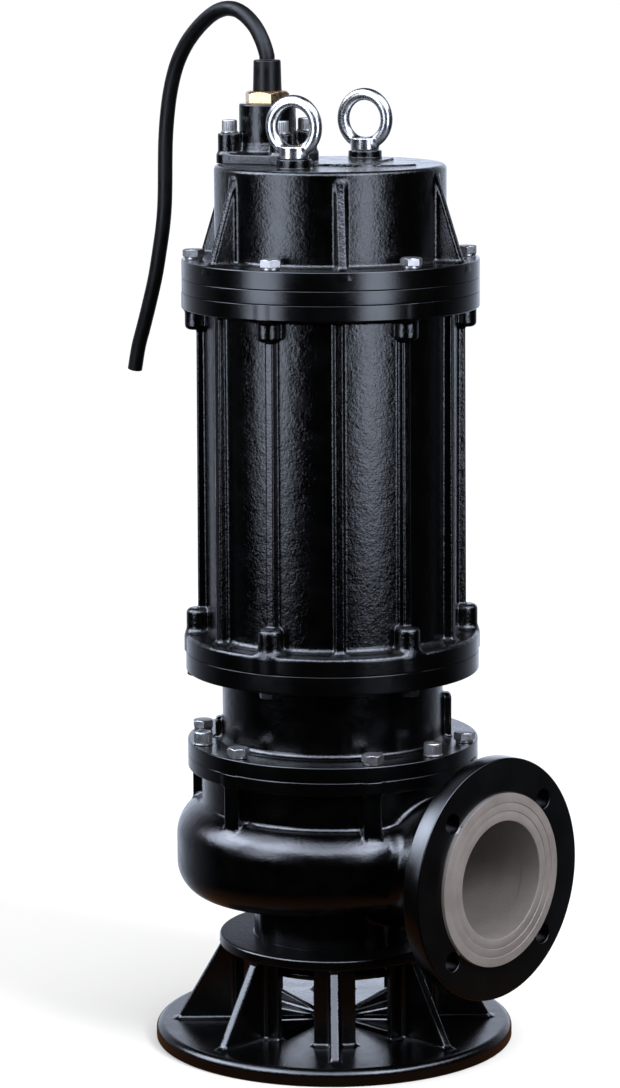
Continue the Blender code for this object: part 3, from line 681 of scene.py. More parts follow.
def scroll_growth(x, y):
    """0 at the tongue, rising to 1 at the discharge as it runs clockwise, and back to 0 across the nozzle."""
    _, phi = polar(x, y)
    swept = np.mod(SCROLL_START - phi, 360.0) / SCROLL_TURN
    back = np.clip((360.0 - swept * SCROLL_TURN) / (360.0 - SCROLL_TURN), 0.0, 1.0)
    return np.where(swept <= 1.0, swept, back * back * (3.0 - 2.0 * back))


def scroll_levels(growth):
    """The section's reach, levels and corner: even over the first third of a turn, then growing."""
    outer = 0.1290 + 0.0300 * growth + 0.0080 * np.clip(1.0 - growth / 0.34, 0.0, 1.0)
    top = 0.2165 + 0.0040 * growth
    bottom = SCROLL_BOTTOM - 0.0240 * growth
    corner = 0.0300 + 0.0060 * growth
    return outer, top, bottom, corner


def volute_hollow(x, y, z):
    """The water's way through the casing."""
    r, _ = polar(x, y)
    outer, top, bottom, corner = scroll_levels(scroll_growth(x, y))
    wall = 0.0090
    passage = meet(meet(r - outer + wall, z - top + wall, corner - wall), bottom + wall - z, corner - wall)
    passage = np.maximum(passage, 0.040 - r)
    chamber = disc(r, z, 0.1040, SCROLL_BOTTOM + wall, 0.3, 0.004, 0.0)
    suction = np.maximum(r - BORE_R, z - 0.160)
    across = np.hypot(y, z - VOLUTE_MID)
    outlet = np.maximum(across - BORE_R - 0.0003, 0.090 - x)
    return np.minimum(np.minimum(passage, chamber), np.minimum(suction, outlet))


def volute_solid(x, y, z):
    """Scroll, neck with bolt bosses, suction neck and nozzle, hollow inside."""
    r, _ = polar(x, y)
    outer, top, bottom, corner = scroll_levels(scroll_growth(x, y))
    scroll = meet(meet(r - outer, z - top, corner), bottom - z, corner)
    neck = r - NECK_R
    out, side = fold(x, y, 6, NECK_BOSS_TURN)
    boss = meet(np.abs(side) - 0.0085, out - 0.1280, 0.0028)
    neck = np.maximum(join(neck, boss, 0.0030), 0.195 - z)
    flange = disc(r, z, COVER_FLANGE_R, COVER_FLANGE_BOTTOM, COVER_JOINT, 0.0012, 0.0006)
    skirt = disc(r, z, SUCTION_NECK_R, VOLUTE_FOOT - 0.01, 0.1500, 0.0, 0.0)
    out, side = fold(x, y, 4, -105.0)
    column = np.hypot(out - (SUCTION_NECK_R - 0.006), side) - 0.0115
    skirt = join(skirt, np.maximum(column, z - 0.150), 0.0025)
    sole = disc(r, z, SUCTION_NECK_R + 0.005, VOLUTE_FOOT - 0.01, VOLUTE_FOOT + 0.0052, 0.0, 0.0015)
    skirt = join(skirt, sole, 0.0030)
    body = join(scroll, skirt, 0.0080)
    body = join(body, neck, 0.0028)
    body = join(body, flange, 0.0030)
    across = np.hypot(y, z - VOLUTE_MID)
    reach = np.clip((x - 0.080) / 0.070, 0.0, 1.0)
    flare = np.clip((x - 0.1495) / 0.0295, 0.0, 1.2)
    nozzle = across - (0.0560 + 0.0040 * reach + 0.0060 * flare * flare)
    nozzle = np.maximum(nozzle, 0.070 - x)
    body = join(body, nozzle, 0.0060)
    back_face = FLANGE_X - FLANGE_RAISE - FLANGE_THICK + 0.0002
    slab = np.maximum(across - (FLANGE_R - 0.004), band(x, back_face, FLANGE_X))
    body = join(body, slab, 0.0070)
    body = np.maximum(body, x - (FLANGE_X - 0.012))
    body = np.maximum(body, np.maximum(VOLUTE_FOOT - z, z - COVER_JOINT))
    pipe = np.maximum(band(across, BORE_R + 0.0003, BORE_R + 0.0063), band(x, 0.089, 0.180))
    return np.minimum(np.maximum(body, -volute_hollow(x, y, z)), pipe)


def volute_casing():
    radii = lines((0.046, 0.066, 0.004), (0.066, 0.078, 0.0020), (0.078, 0.100, 0.0040), (0.100, 0.132, 0.0020),
                  (0.132, 0.186, 0.0030), (0.186, 0.216, 0.0040))
    heights = lines((VOLUTE_FOOT - 0.0012, 0.104, 0.0012), (0.104, 0.118, 0.0024), (0.118, 0.205, 0.0032),
                    (0.205, 0.232, 0.0018), (0.232, 0.244, 0.0026), (0.244, 0.2612, 0.0010))
    obj = cast("volute", volute_solid, polar_grid(radii, 252, heights))
    rim = COVER_FLANGE_R - 0.0012

    def rule(x, y, z):
        r = np.hypot(x, y)
        bore = (volute_hollow(x, y, z) < 0.0015) | ((np.hypot(y, z - VOLUTE_MID) < BORE_R + 0.002) & (x > 0.085))
        turned = (z > COVER_FLANGE_BOTTOM + 0.001) & (r > rim)
        return np.where(bore, 2, np.where(turned, 1, 0))

    paint(obj, [CAST_FINE, TURNED, PRIMER_CAST], rule)
    piece(obj, "cast_black_paint", "volute_casing")


def discharge_flange():
    """Drilled flange with a raised, scored sealing face."""
    face = FLANGE_X
    step = FLANGE_X - FLANGE_RAISE
    back = step - FLANGE_THICK
    edge = 0.0009
    fine = 0.0004
    profile = [(BORE_R, back + 0.0004), (BORE_R + 0.0004, back), (FLANGE_R - edge, back)]
    profile += arc(FLANGE_R - edge, back + edge, edge, -90, 0, 4)[1:]
    profile += arc(FLANGE_R - edge * 1.5, step - edge * 1.5, edge * 1.5, 0, 90, 5)
    profile += [(FLANGE_FACE_R + 0.0010, step), (FLANGE_FACE_R + 0.0002, step + 0.0006)]
    profile += arc(FLANGE_FACE_R - fine, face - fine, fine, 0, 90, 3)
    for groove in (0.0673, 0.0598):
        profile += [(groove + 0.0007, face), (groove + 0.0003, face - 0.0005), (groove - 0.0003, face - 0.0005),
                    (groove - 0.0013, face)]
    profile += arc(BORE_R + 0.0010, face - 0.0010, 0.0010, 90, 180, 3)
    upright = Matrix.Translation((0, 0, VOLUTE_MID)) @ Matrix.Rotation(math.radians(90), 4, "Y")
    obj = lathe("discharge_flange", profile, 144, upright)
    bm = bmesh.new()
    for i in range(4):
        a = math.radians(45 + 90 * i)
        spot = Vector((0.0, FLANGE_BOLTS_R * math.cos(a), VOLUTE_MID + FLANGE_BOLTS_R * math.sin(a)))
        sections = [(back - 0.002, FLANGE_HOLE_R + 0.0023), (back + 0.0003, FLANGE_HOLE_R),
                    (step - 0.0003, FLANGE_HOLE_R), (step + 0.002, FLANGE_HOLE_R + 0.0023)]
        rings = []
        for x, radius in sections:
            rings.append([bm.verts.new(spot + Vector((x, radius * math.cos(b), radius * math.sin(b))))
                          for b in np.linspace(0, 2 * math.pi, 40, endpoint=False)])
        for one, two in zip(rings, rings[1:]):
            for j in range(40):
                k = (j + 1) % 40
                bm.faces.new((one[j], one[k], two[k], two[j]))
        bm.faces.new(rings[0])
        bm.faces.new(rings[-1])
    bmesh.ops.recalc_face_normals(bm, faces=bm.faces)
    drills = bpy.data.meshes.new("drills")
    bm.to_mesh(drills)
    bm.free()
    tool = link(bpy.data.objects.new("drills", drills))
    bore_holes = obj.modifiers.new("drill", "BOOLEAN")
    bore_holes.operation = "DIFFERENCE"
    bore_holes.solver = "EXACT"
    bore_holes.object = tool
    bpy.context.view_layer.update()
    drilled = bpy.data.meshes.new_from_object(obj.evaluated_get(bpy.context.evaluated_depsgraph_get()))
    obj.modifiers.clear()
    obj.data = drilled
    bpy.data.objects.remove(tool, do_unlink=True)
    drilled.shade_smooth()
    drilled.set_sharp_from_angle(angle=math.radians(28))

    def rule(x, y, z):
        r = np.hypot(y, z - VOLUTE_MID)
        raised = (r < FLANGE_FACE_R + 0.0004) & (x > step + 0.0002)
        bore = r < BORE_R + 0.0003
        front = (r < FLANGE_R - 0.0012) & (x > step - 0.0010)
        return np.where(raised | bore, 1, np.where(front, 2, 0))

    paint(obj, [TURNED, PRIMER, FACE], rule)
    piece(obj, "cast_black_paint", "volute_casing")


def oil_solid(x, y, z):
    """Volute cover with the seal housing above it."""
    r, _ = polar(x, y)
    barrel = band(z, 0.26, 0.35)
    barrel = np.maximum(r - OIL_CHAMBER_R, barrel)
    cover = disc(r, z, COVER_FLANGE_R, COVER_JOINT + SEAT, COVER_FLANGE_TOP, 0.0006, 0.0011)
    upper = disc(r, z, MOTOR_FLANGE_R, MOTOR_FLANGE_BOTTOM, OIL_TOP, 0.0010, 0.0006)
    body = join(barrel, cover, 0.0060)
    body = join(body, upper, 0.0030)
    for degrees, reach, top in ((42.7, 0.1050, 0.3125), (-137.3, 0.1040, 0.2920)):
        out, side = turned_to(x, y, degrees)
        lug = meet(meet(np.abs(side) - 0.0070, out - reach, 0.0015), z - top, 0.0040)
        lug = np.maximum(lug, 0.08 - out)
        body = join(body, lug, 0.0020)
    spigot = disc(r, z, 0.1030, 0.2120, 0.27, 0.0010, 0.0)
    shaft = disc(r, z, 0.0180, OIL_FOOT, 0.22, 0.0010, 0.0)
    return np.minimum(body, np.minimum(spigot, shaft))


def oil_chamber():
    radii = lines((0.008, 0.016, 0.004), (0.016, 0.020, 0.0010), (0.020, 0.092, 0.009), (0.092, 0.110, 0.0013),
                  (0.110, 0.126, 0.0026), (0.126, 0.1302, 0.0006))
    heights = lines((OIL_FOOT - 0.002, 0.214, 0.0020), (0.214, 0.2590, 0.009), (0.2590, 0.2630, 0.0005),
                    (0.2630, 0.2710, 0.0020), (0.2710, 0.2820, 0.0008), (0.2820, 0.3280, 0.0020),
                    (0.3280, 0.3392, 0.0008), (0.3392, 0.3512, 0.0020), (0.3512, 0.3536, 0.0004))
    obj = cast("seal_housing", oil_solid, polar_grid(radii, 360, heights),
               flat_face(MOTOR_FLANGE_R - 0.003, high=OIL_TOP))

    def rule(x, y, z):
        r = np.hypot(x, y)
        return np.where((r > COVER_FLANGE_R - 0.0012) | (r > MOTOR_FLANGE_R - 0.0012), 1, 0)

    paint(obj, [CAST_FINE, TURNED], rule)
    piece(obj, "housing_black_paint", "oil_chamber")


def motor_solid(x, y, z):
    """Ribbed stator barrel between its flanges."""
    r, _ = polar(x, y)
    core = r - MOTOR_CORE_R
    out, side = fold(x, y, 12, MOTOR_TURN)
    taper = (z - MOTOR_FLANGE_TOP) / (TOP_FLANGE_BOTTOM - MOTOR_FLANGE_TOP)
    reach = RIB_FOOT_R + (RIB_TOP_R - RIB_FOOT_R) * taper
    rib = meet(np.abs(side) - 0.0040, out - reach, 0.0016)
    body = join(core, rib, 0.0026)
    out, side = fold(x, y, 6, MOTOR_TURN)
    upper = meet(np.hypot(out - 0.1172, side) - 0.0100, TOP_FLANGE_BOTTOM - 0.0190 - z, 0.0042)
    lower = meet(np.hypot(out - 0.1178, side) - 0.0108, z - (MOTOR_FLANGE_TOP + 0.0220), 0.0048)
    upper = np.maximum(upper, 0.5 - z)
    lower = np.maximum(lower, z - 0.5)
    body = join(body, np.minimum(upper, lower), 0.0022)
    foot = disc(r, z, MOTOR_FLANGE_R, MOTOR_FOOT, MOTOR_FLANGE_TOP, 0.0006, 0.0040)
    head = disc(r, z, TOP_FLANGE_R, TOP_FLANGE_BOTTOM, MOTOR_TOP, 0.0012, 0.0006)
    body = join(body, foot, 0.0060)
    body = join(body, head, 0.0050)
    return np.maximum(body, np.maximum(MOTOR_FOOT - z, z - MOTOR_TOP))


def motor_body():
    radii = lines((0.100, 0.108, 0.004), (0.108, 0.1256, 0.0011), (0.1256, 0.1310, 0.0006))
    heights = lines((MOTOR_FOOT - 0.0012, 0.3550, 0.0006), (0.3550, 0.3640, 0.0022), (0.3640, 0.3720, 0.0007),
                    (0.3720, 0.3950, 0.0012), (0.3950, 0.6320, 0.0090), (0.6320, 0.6540, 0.0012),
                    (0.6540, 0.6585, 0.0007), (0.6585, 0.6680, 0.0022), (0.6680, 0.6710, 0.0005))
    obj = cast("motor_barrel", motor_solid, polar_grid(radii, 528, heights),
               flat_face(MOTOR_FLANGE_R - 0.003, MOTOR_FOOT, MOTOR_TOP))

    def rule(x, y, z):
        r = np.hypot(x, y)
        rim = (r > MOTOR_FLANGE_R - 0.0014) & ((z < MOTOR_FLANGE_TOP - 0.003) | (z > TOP_FLANGE_BOTTOM + 0.001))
        return np.where(rim, 1, 0)

    paint(obj, [CAST, TURNED], rule)
    piece(obj, "housing_black_paint", "motor_body")


def bearing_plate():
    edge = 0.0007
    low, high, r = BEARING_LOW, BEARING_HIGH, TOP_FLANGE_R
    profile = [(0.0, high), (r - edge, high)] + arc(r - edge, high - edge, edge, 90, 0, 4)
    profile += arc(r - edge, low + edge, edge, 0, -90, 4) + [(0.0, low)]
    obj = lathe("bearing_ring", profile, 256)
    paint(obj, [TURNED])
    piece(obj, "housing_black_paint", "bearing_plate")


# Corners of the low platform cast on the cap's top, in metres
PLATFORM = ((0.000, -0.027), (0.0435, -0.0105), (0.0100, 0.0730), (-0.0330, 0.0600))

# Turning arrow cast on the cap's top: centre, radius and the angles where it starts and ends
ARROW_CENTRE = (0.0365, 0.0330)
ARROW_R = 0.0330
ARROW_FROM = -58.0
ARROW_TO = -2.0


def polygon(x, y, corners):
    """Distance from a convex outline that runs anticlockwise."""
    far = None
    for (ax, ay), (bx, by) in zip(corners, corners[1:] + corners[:1]):
        length = math.hypot(bx - ax, by - ay)
        side = ((x - ax) * (by - ay) - (y - ay) * (bx - ax)) / length
        far = side if far is None else meet(far, side, 0.004)
    return far


def arrow_relief(x, y, z):
    """Turning arrow cast on the cap: a raised arc with a head at its near end."""
    r, phi = polar(x - ARROW_CENTRE[0], y - ARROW_CENTRE[1])
    bend = (ARROW_FROM + ARROW_TO) / 2
    swing = np.mod(phi - bend + 180.0, 360.0) - 180.0
    half = (ARROW_TO - ARROW_FROM) / 2
    along = np.radians(np.abs(swing) - half) * ARROW_R
    shaft = np.maximum(np.abs(r - ARROW_R) - 0.0016, along)
    behind = np.radians(swing + half) * ARROW_R
    head = np.maximum(np.abs(r - ARROW_R) * 0.8 - behind * 0.6 - 0.0042, behind - 0.0010)
    head = np.maximum(head, -behind - 0.0075)
    return meet(np.minimum(shaft, head), z - (CAP_TOP + 0.0013), 0.0005)


def cap_solid(x, y, z):
    """Terminal cover: drum, flange, six gussets and the pads under the lifting eyes."""
    r, _ = polar(x, y)
    drum = meet(r - CAP_R, z - CAP_TOP, 0.0042)
    platform = meet(polygon(x, y, PLATFORM), z - (CAP_TOP + 0.0016), 0.0006)
    drum = join(drum, platform, 0.0008)
    drum = join(drum, arrow_relief(x, y, z), 0.0006)
    out, side = fold(x, y, 6, CAP_BOLT_TURN + 30.0)
    edge = slope(out, z, (0.1245, CAP_FLANGE_TOP + 0.003), (0.1020, CAP_TOP - 0.0105))
    gusset = meet(np.abs(side) - 0.0045, edge, 0.0028)
    gusset = meet(gusset, z - (CAP_TOP - 0.0060), 0.0040)
    gusset = np.maximum(gusset, np.maximum(0.080 - out, CAP_FLANGE_TOP - 0.004 - z))
    body = join(drum, gusset, 0.0036)
    flange = disc(r, z, TOP_FLANGE_R, CAP_FOOT, CAP_FLANGE_TOP, 0.0006, 0.0012)
    body = join(body, flange, 0.0042)
    for degrees in EYE_DEG:
        out, side = turned_to(x, y, degrees, EYE_R)
        pad = meet(np.hypot(out, side) - 0.0148, z - PAD_TOP, 0.0012)
        body = join(body, pad, 0.0012)
    return np.maximum(body, CAP_FOOT - z)


def top_cap():
    radii = lines((0.004, 0.044, 0.0040), (0.044, 0.080, 0.0014), (0.080, 0.094, 0.0030), (0.094, 0.1262, 0.0013),
                  (0.1262, 0.1308, 0.0006))
    heights = lines((CAP_FOOT - 0.0012, 0.6845, 0.0006), (0.6845, 0.6950, 0.0022), (0.6950, 0.7060, 0.0008),
                    (0.7060, 0.7600, 0.0022), (0.7600, 0.7750, 0.0013), (0.7750, PAD_TOP + 0.0010, 0.00075))
    obj = cast("terminal_cover", cap_solid, polar_grid(radii, 400, heights),
               flat_face(TOP_FLANGE_R - 0.003, CAP_FOOT))

    def rule(x, y, z):
        r = np.hypot(x, y)
        return np.where((r > TOP_FLANGE_R - 0.0014) & (z < CAP_FLANGE_TOP), 1, 0)

    paint(obj, [CAST, TURNED], rule)
    piece(obj, "housing_black_paint", "top_cap")


def gland_solid(x, y, z):
    """Cable entry: square foot, four screw posts and the tower."""
    out, side = turned_to(x, y, GLAND_DEG, GLAND_R)
    half = 0.0360
    foot = meet(np.abs(out) - half, np.abs(side) - half, 0.0110)
    foot = meet(foot, z - BOX_PLATE_TOP, 0.0016)
    post = np.hypot(np.abs(out) - GLAND_POST_AT, np.abs(side) - GLAND_POST_AT) - 0.0102
    post = meet(post, z - POST_TOP, 0.0012)
    spread = np.clip((BOX_PLATE_TOP + 0.010 - z) / 0.012, 0.0, 1.0)
    tower = meet(np.hypot(out, side) - 0.0248 - 0.0040 * spread, z - TOWER_TOP, 0.0018)
    body = join(foot, post, 0.0030)
    body = join(body, tower, 0.0030)
    return np.maximum(body, BOX_FOOT - z)


def gland_box():
    centre = around(GLAND_DEG, GLAND_R).translation
    reach = 0.0505
    step = 0.0011
    xs = lines((centre.x - reach, centre.x + reach, step))
    ys = lines((centre.y - reach, centre.y + reach, step))
    zs = lines((BOX_FOOT - 0.0010, TOWER_TOP + 0.0010, step))
    obj = cast("cable_entry", gland_solid, box_grid(xs, ys, zs))
    paint(obj, [CAST])
    piece(obj, "housing_black_paint", "gland_box")


def eye_solid(x, y, z):
    """Ring of round wire that grows out of a collar; local coordinates, the ring in the YZ plane."""
    wire = 0.0054
    ring_r = 0.0216
    centre = 0.0270
    ring = np.hypot(np.hypot(y, z - centre) - ring_r, x) - wire
    collar = meet(np.hypot(x, y) - 0.0125, z - 0.0105, 0.0010)
    collar = meet(collar, -z, 0.0008)
    return np.maximum(join(ring, collar, 0.0022), -z)


def lifting_eyes():
    step = 0.0008
    xs = lines((-0.0140, 0.0140, step))
    ys = lines((-0.0285, 0.0285, step))
    zs = lines((-0.0008, 0.0550, step))
    first = cast("lifting_eye_1", eye_solid, box_grid(xs, ys, zs))
    for number, degrees in enumerate(EYE_DEG, 1):
        obj = first if number == 1 else link(bpy.data.objects.new(f"lifting_eye_{number}", first.data.copy()))
        obj.matrix_world = around(degrees, EYE_R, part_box(f"eye_bolt_{number}")[0].z)
        paint(obj, [POLISHED])
        piece(obj, "stainless_steel", f"eye_bolt_{number}")


def hexagon_reach(angle, across_flats):
    """Distance from the centre to the hexagon's side, in a direction."""
    part = math.radians((math.degrees(angle) + 30.0) % 60.0 - 30.0)
    return across_flats / 2 / math.cos(part)


def hexagon_head(name, across_flats, foot, top, bore=0.0, columns=72):
    """A hexagon head whose corners are chamfered at the top, as one closed mesh."""
    flat_r = across_flats * 0.475
    droop = math.tan(math.radians(30))
    edge = 0.0003
    bm = bmesh.new()
    rings = [[] for _ in range(6)]
    for j in range(columns):
        a = 2 * math.pi * j / columns
        reach = hexagon_reach(a, across_flats)
        fall = max(0.0, reach - flat_r) * droop
        rows = [(reach - edge, foot), (reach, foot + edge), (reach, top - fall - edge * 0.8),
                (reach - edge * 0.8, top - fall + edge * 0.1), (flat_r + edge * 0.6, top - edge * 0.35),
                (flat_r - edge, top)]
        for ring, (r, z) in zip(rings, rows):
            ring.append(bm.verts.new((r * math.cos(a), r * math.sin(a), z)))
    for one, two in zip(rings, rings[1:]):
        for j in range(columns):
            k = (j + 1) % columns
            bm.faces.new((one[j], one[k], two[k], two[j]))
    if bore:
        inner = []
        for z, r in ((top, bore + 0.0006), (top - 0.0006, bore), (foot, bore)):
            inner.append([bm.verts.new((r * math.cos(2 * math.pi * j / columns),
                                        r * math.sin(2 * math.pi * j / columns), z)) for j in range(columns)])
        for one, two in zip([rings[-1]] + inner, inner + [rings[0]]):
            for j in range(columns):
                k = (j + 1) % columns
                bm.faces.new((one[j], one[k], two[k], two[j]))
    else:
        bm.faces.new(rings[-1])
        bm.faces.new(rings[0][::-1])
    bmesh.ops.recalc_face_normals(bm, faces=bm.faces)
    mesh = bpy.data.meshes.new(name)
    bm.to_mesh(mesh)
    bm.free()
    mesh.shade_smooth()
    mesh.set_sharp_from_angle(angle=math.radians(24))
    return mesh


def merged(name, meshes, materials):
    """Several closed meshes as one mesh, each with its own material."""
    bm = bmesh.new()
    for number, mesh in enumerate(meshes):
        start = len(bm.faces)
        bm.from_mesh(mesh)
        bm.faces.ensure_lookup_table()
        for face in bm.faces[start:]:
            face.material_index = number
    made = bpy.data.meshes.new(name)
    bm.to_mesh(made)
    bm.free()
    for material in materials:
        made.materials.append(material)
    return made


def washer_mesh(radius, hole, height, edge=0.0003):
    """A spring washer, drawn as a plain ring."""
    profile = [(hole, edge), (hole + edge, 0.0), (radius - edge, 0.0), (radius, edge), (radius, height - edge),
               (radius - edge, height), (hole + edge, height), (hole, height - edge)]
    obj = lathe("washer", profile, 48)
    mesh = obj.data
    bpy.data.objects.remove(obj, do_unlink=True)
    return mesh


def hex_bolt(across_flats, washer_r, washer_height, height, materials):
    washer = washer_mesh(washer_r, 0.0040, washer_height)
    head = hexagon_head("head", across_flats, washer_height, washer_height + height)
    return merged("hex_bolt", [washer, head], materials)


def socket_screw(head_r, head, washer_r, washer, socket_r):
    """A knurled socket head on a washer, with its hexagon socket open."""
    columns = 96
    teeth = 32
    edge = 0.0007
    foot = washer
    top = washer + head
    floor = washer + head * 0.45
    bm = bmesh.new()
    rows = [("round", head_r - 0.0004, foot), ("knurl", head_r, foot + 0.0005), ("knurl", head_r, top - edge - 0.0010),
            ("round", head_r - 0.0002, top - edge), ("round", head_r - edge, top), ("round", socket_r * 1.22, top),
            ("hex", socket_r * 1.02, top - 0.0004), ("hex", socket_r, floor)]
    rings = []
    for kind, radius, z in rows:
        ring = []
        for j in range(columns):
            a = 2 * math.pi * j / columns
            r = radius
            if kind == "knurl":
                r = radius - 0.00022 * (1 if j % (columns // teeth) else 0)
            elif kind == "hex":
                r = hexagon_reach(a, radius * 2 * math.cos(math.pi / 6))
            ring.append(bm.verts.new((r * math.cos(a), r * math.sin(a), z)))
        rings.append(ring)
    for one, two in zip(rings, rings[1:]):
        for j in range(columns):
            k = (j + 1) % columns
            bm.faces.new((one[j], one[k], two[k], two[j]))
    bm.faces.new(rings[0][::-1])
    bm.faces.new(rings[-1])
    bmesh.ops.recalc_face_normals(bm, faces=bm.faces)
    mesh = bpy.data.meshes.new("socket_head")
    bm.to_mesh(mesh)
    bm.free()
    mesh.shade_smooth()
    mesh.set_sharp_from_angle(angle=math.radians(24))
    return merged("socket_screw", [washer_mesh(washer_r, 0.0030, washer), mesh], [WASHER, STEEL])


def place_fasteners(prefix, node, mesh, places):
    """Copies at their places, each turned a little differently, as wrenches leave them."""
    rng = np.random.default_rng(7)
    for number, place in enumerate(places, 1):
        turn = Matrix.Rotation(rng.uniform(0.0, math.radians(60)), 4, "Z")
        obj = link(bpy.data.objects.new(f"{prefix}_{number}", mesh.copy()))
        obj.matrix_world = place @ turn
        piece(obj, "stainless_steel", f"{node}_{number}")


def fasteners():
    bolt = hex_bolt(0.0168, 0.0080, 0.0022, 0.0066, [WASHER, STEEL])
    thin_bolt = hex_bolt(0.0165, 0.0085, 0.0012, 0.0043, [DARK_STEEL, DARK_STEEL])
    big = socket_screw(0.0079, 0.0100, 0.0086, 0.0014, 0.0042)
    small = socket_screw(0.0066, 0.0098, 0.0076, 0.0014, 0.0033)
    on_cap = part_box("cap_bolt_1")[0].z
    on_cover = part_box("cover_bolt_1")[0].z
    under_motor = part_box("motor_foot_bolt_1")[1].z
    on_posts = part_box("gland_screw_1")[0].z
    flip = Matrix.Rotation(math.pi, 4, "X")
    corners = [Matrix.Translation((x * GLAND_POST_AT, y * GLAND_POST_AT, 0)) for x in (-1, 1) for y in (-1, 1)]
    place_fasteners("cover_hex", "cap_bolt", bolt, ring_of(6, CAP_BOLT_TURN, BOLTS_R, on_cap))
    place_fasteners("foot_hex", "motor_foot_bolt", thin_bolt,
                    [place @ flip for place in ring_of(6, MOTOR_TURN, BOLTS_R, under_motor)])
    place_fasteners("casing_hex", "cover_bolt", bolt, ring_of(6, COVER_BOLT_TURN, BOLTS_R, on_cover))
    place_fasteners("casing_socket", "cover_screw", big, ring_of(3, COVER_SCREW_TURN, BOLTS_R, on_cover))
    place_fasteners("entry_socket", "gland_screw", small,
                    [around(GLAND_DEG, GLAND_R, on_posts) @ corner for corner in corners])


def gland_nut():
    mesh = hexagon_head("brass_nut", 0.0352, NUT_FOOT, NUT_TOP, 0.0128, 96)
    obj = link(bpy.data.objects.new("brass_nut", mesh))
    mesh.transform(around(GLAND_DEG, GLAND_R) @ around(34.0))
    paint(obj, [BRASS])
    piece(obj, "brass", "gland_nut")


def cable_boot():
    mouth = 0.0070
    profile = [(0.0, BOOT_TOP - 0.0015), (mouth - 0.0002, BOOT_TOP - 0.0015), (mouth, BOOT_TOP - 0.0004)]
    profile += arc(0.0119 - 0.0016, BOOT_TOP - 0.0016, 0.0016, 90, 0, 5)
    profile += [(0.0124, BOOT_FOOT + 0.004), (0.0126, BOOT_FOOT + 0.0004), (0.0122, BOOT_FOOT), (0.0, BOOT_FOOT)]
    obj = lathe("boot", profile, 64, around(GLAND_DEG, GLAND_R))
    paint(obj, [BOOT_RUBBER])
    piece(obj, "cable_rubber", "cable_boot")


def smooth_route(points, spacing):
    """Points about one spacing apart on a Catmull-Rom curve through the route."""
    padded = [2 * points[0] - points[1]] + points + [2 * points[-1] - points[-2]]
    fine = []
    for a, b, c, d in zip(padded, padded[1:], padded[2:], padded[3:]):
        for i in range(8):
            t = i / 8
            fine.append(0.5 * (2 * b + (c - a) * t + (2 * a - 5 * b + 4 * c - d) * t * t
                               + (3 * b - a - 3 * c + d) * t * t * t))
    fine.append(points[-1])
    total = sum((q - p).length for p, q in zip(fine, fine[1:]))
    count = max(2, round(total / spacing))
    kept = [fine[0]]
    travelled = 0.0
    for p, q in zip(fine, fine[1:]):
        travelled += (q - p).length
        if travelled >= len(kept) * total / count and len(kept) < count:
            kept.append(q)
    kept.append(fine[-1])
    return kept


def power_cable():
    """The cable hangs free from its boot; its cut end is bare."""
    boot = around(GLAND_DEG, GLAND_R).translation
    a = math.radians(CABLE_PLANE_DEG)
    points = [Vector((boot.x + s * math.cos(a), boot.y + s * math.sin(a), z)) for s, z in CABLE_ROUTE]
    kept = [points[0]] + smooth_route(points[1:], CABLE_D / 3)
    curve = bpy.data.curves.new("power_cable_sheath", "CURVE")
    curve.dimensions = "3D"
    curve.bevel_depth = CABLE_D / 2
    curve.bevel_resolution = 6
    curve.use_fill_caps = True
    spline = curve.splines.new("POLY")
    spline.points.add(len(kept) - 1)
    for point, place in zip(spline.points, kept):
        point.co = (*place, 1.0)
    spline.use_smooth = True
    curve.materials.append(SHEATH)
    obj = link(bpy.data.objects.new("power_cable_sheath", curve))
    piece(obj, "cable_rubber", "power_cable")


def dress_impeller():
    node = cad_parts["impeller"]
    node.data.materials.clear()
    node.data.materials.append(IRON)


# Studio

# What gloss mirrors of the surroundings. Brightness by azimuth in degrees from the front, positive to the
# camera's right, times a share by height, which is the sine of the elevation: the pale room behind the
# pump, and the soft light above it.
FRONT_DEG = -47.29
ROOM_AROUND = ((-180, 1.50), (-165, 1.25), (-150, 0.90), (-138, 0.50), (-126, 0.24), (-112, 0.12), (-98, 0.02),
               (-85, 0.0), (95, 0.0), (108, 0.03), (120, 0.12), (132, 0.32), (142, 0.60), (152, 0.95),
               (165, 1.30), (180, 1.50))
ROOM_HEIGHT = ((-1.0, 0.02), (-0.5, 0.15), (-0.28, 0.42), (-0.06, 0.50), (0.04, 0.60), (0.10, 0.55), (0.30, 0.45),
               (0.42, 0.20), (0.55, 0.0), (1.0, 0.0))
SKY_AROUND = ((-180, 0.0), (-125, 0.0), (-100, 0.8), (-40, 1.0), (-14, 0.8), (10, 0.8), (30, 1.0), (70, 0.9),
              (100, 0.2), (125, 0.0), (180, 0.0))
SKY_HEIGHT = ((-1.0, 0.0), (0.50, 0.0), (0.61, 0.9), (0.68, 1.0), (0.74, 1.0), (0.81, 0.6), (0.93, 0.5),
              (0.97, 0.0), (1.0, 0.0))
SKY_BRIGHTNESS = 9.0
SIDE_AROUND = ((-180, 0.0), (-122, 0.0), (-106, 1.0), (-84, 1.0), (-72, 0.0), (180, 0.0))
SIDE_HEIGHT = ((-1.0, 0.0), (0.26, 0.0), (0.36, 1.0), (0.62, 1.0), (0.75, 0.0), (1.0, 0.0))
SIDE_BRIGHTNESS = 9.0
LIGHT_TINT = (0.90, 1.0, 1.22)


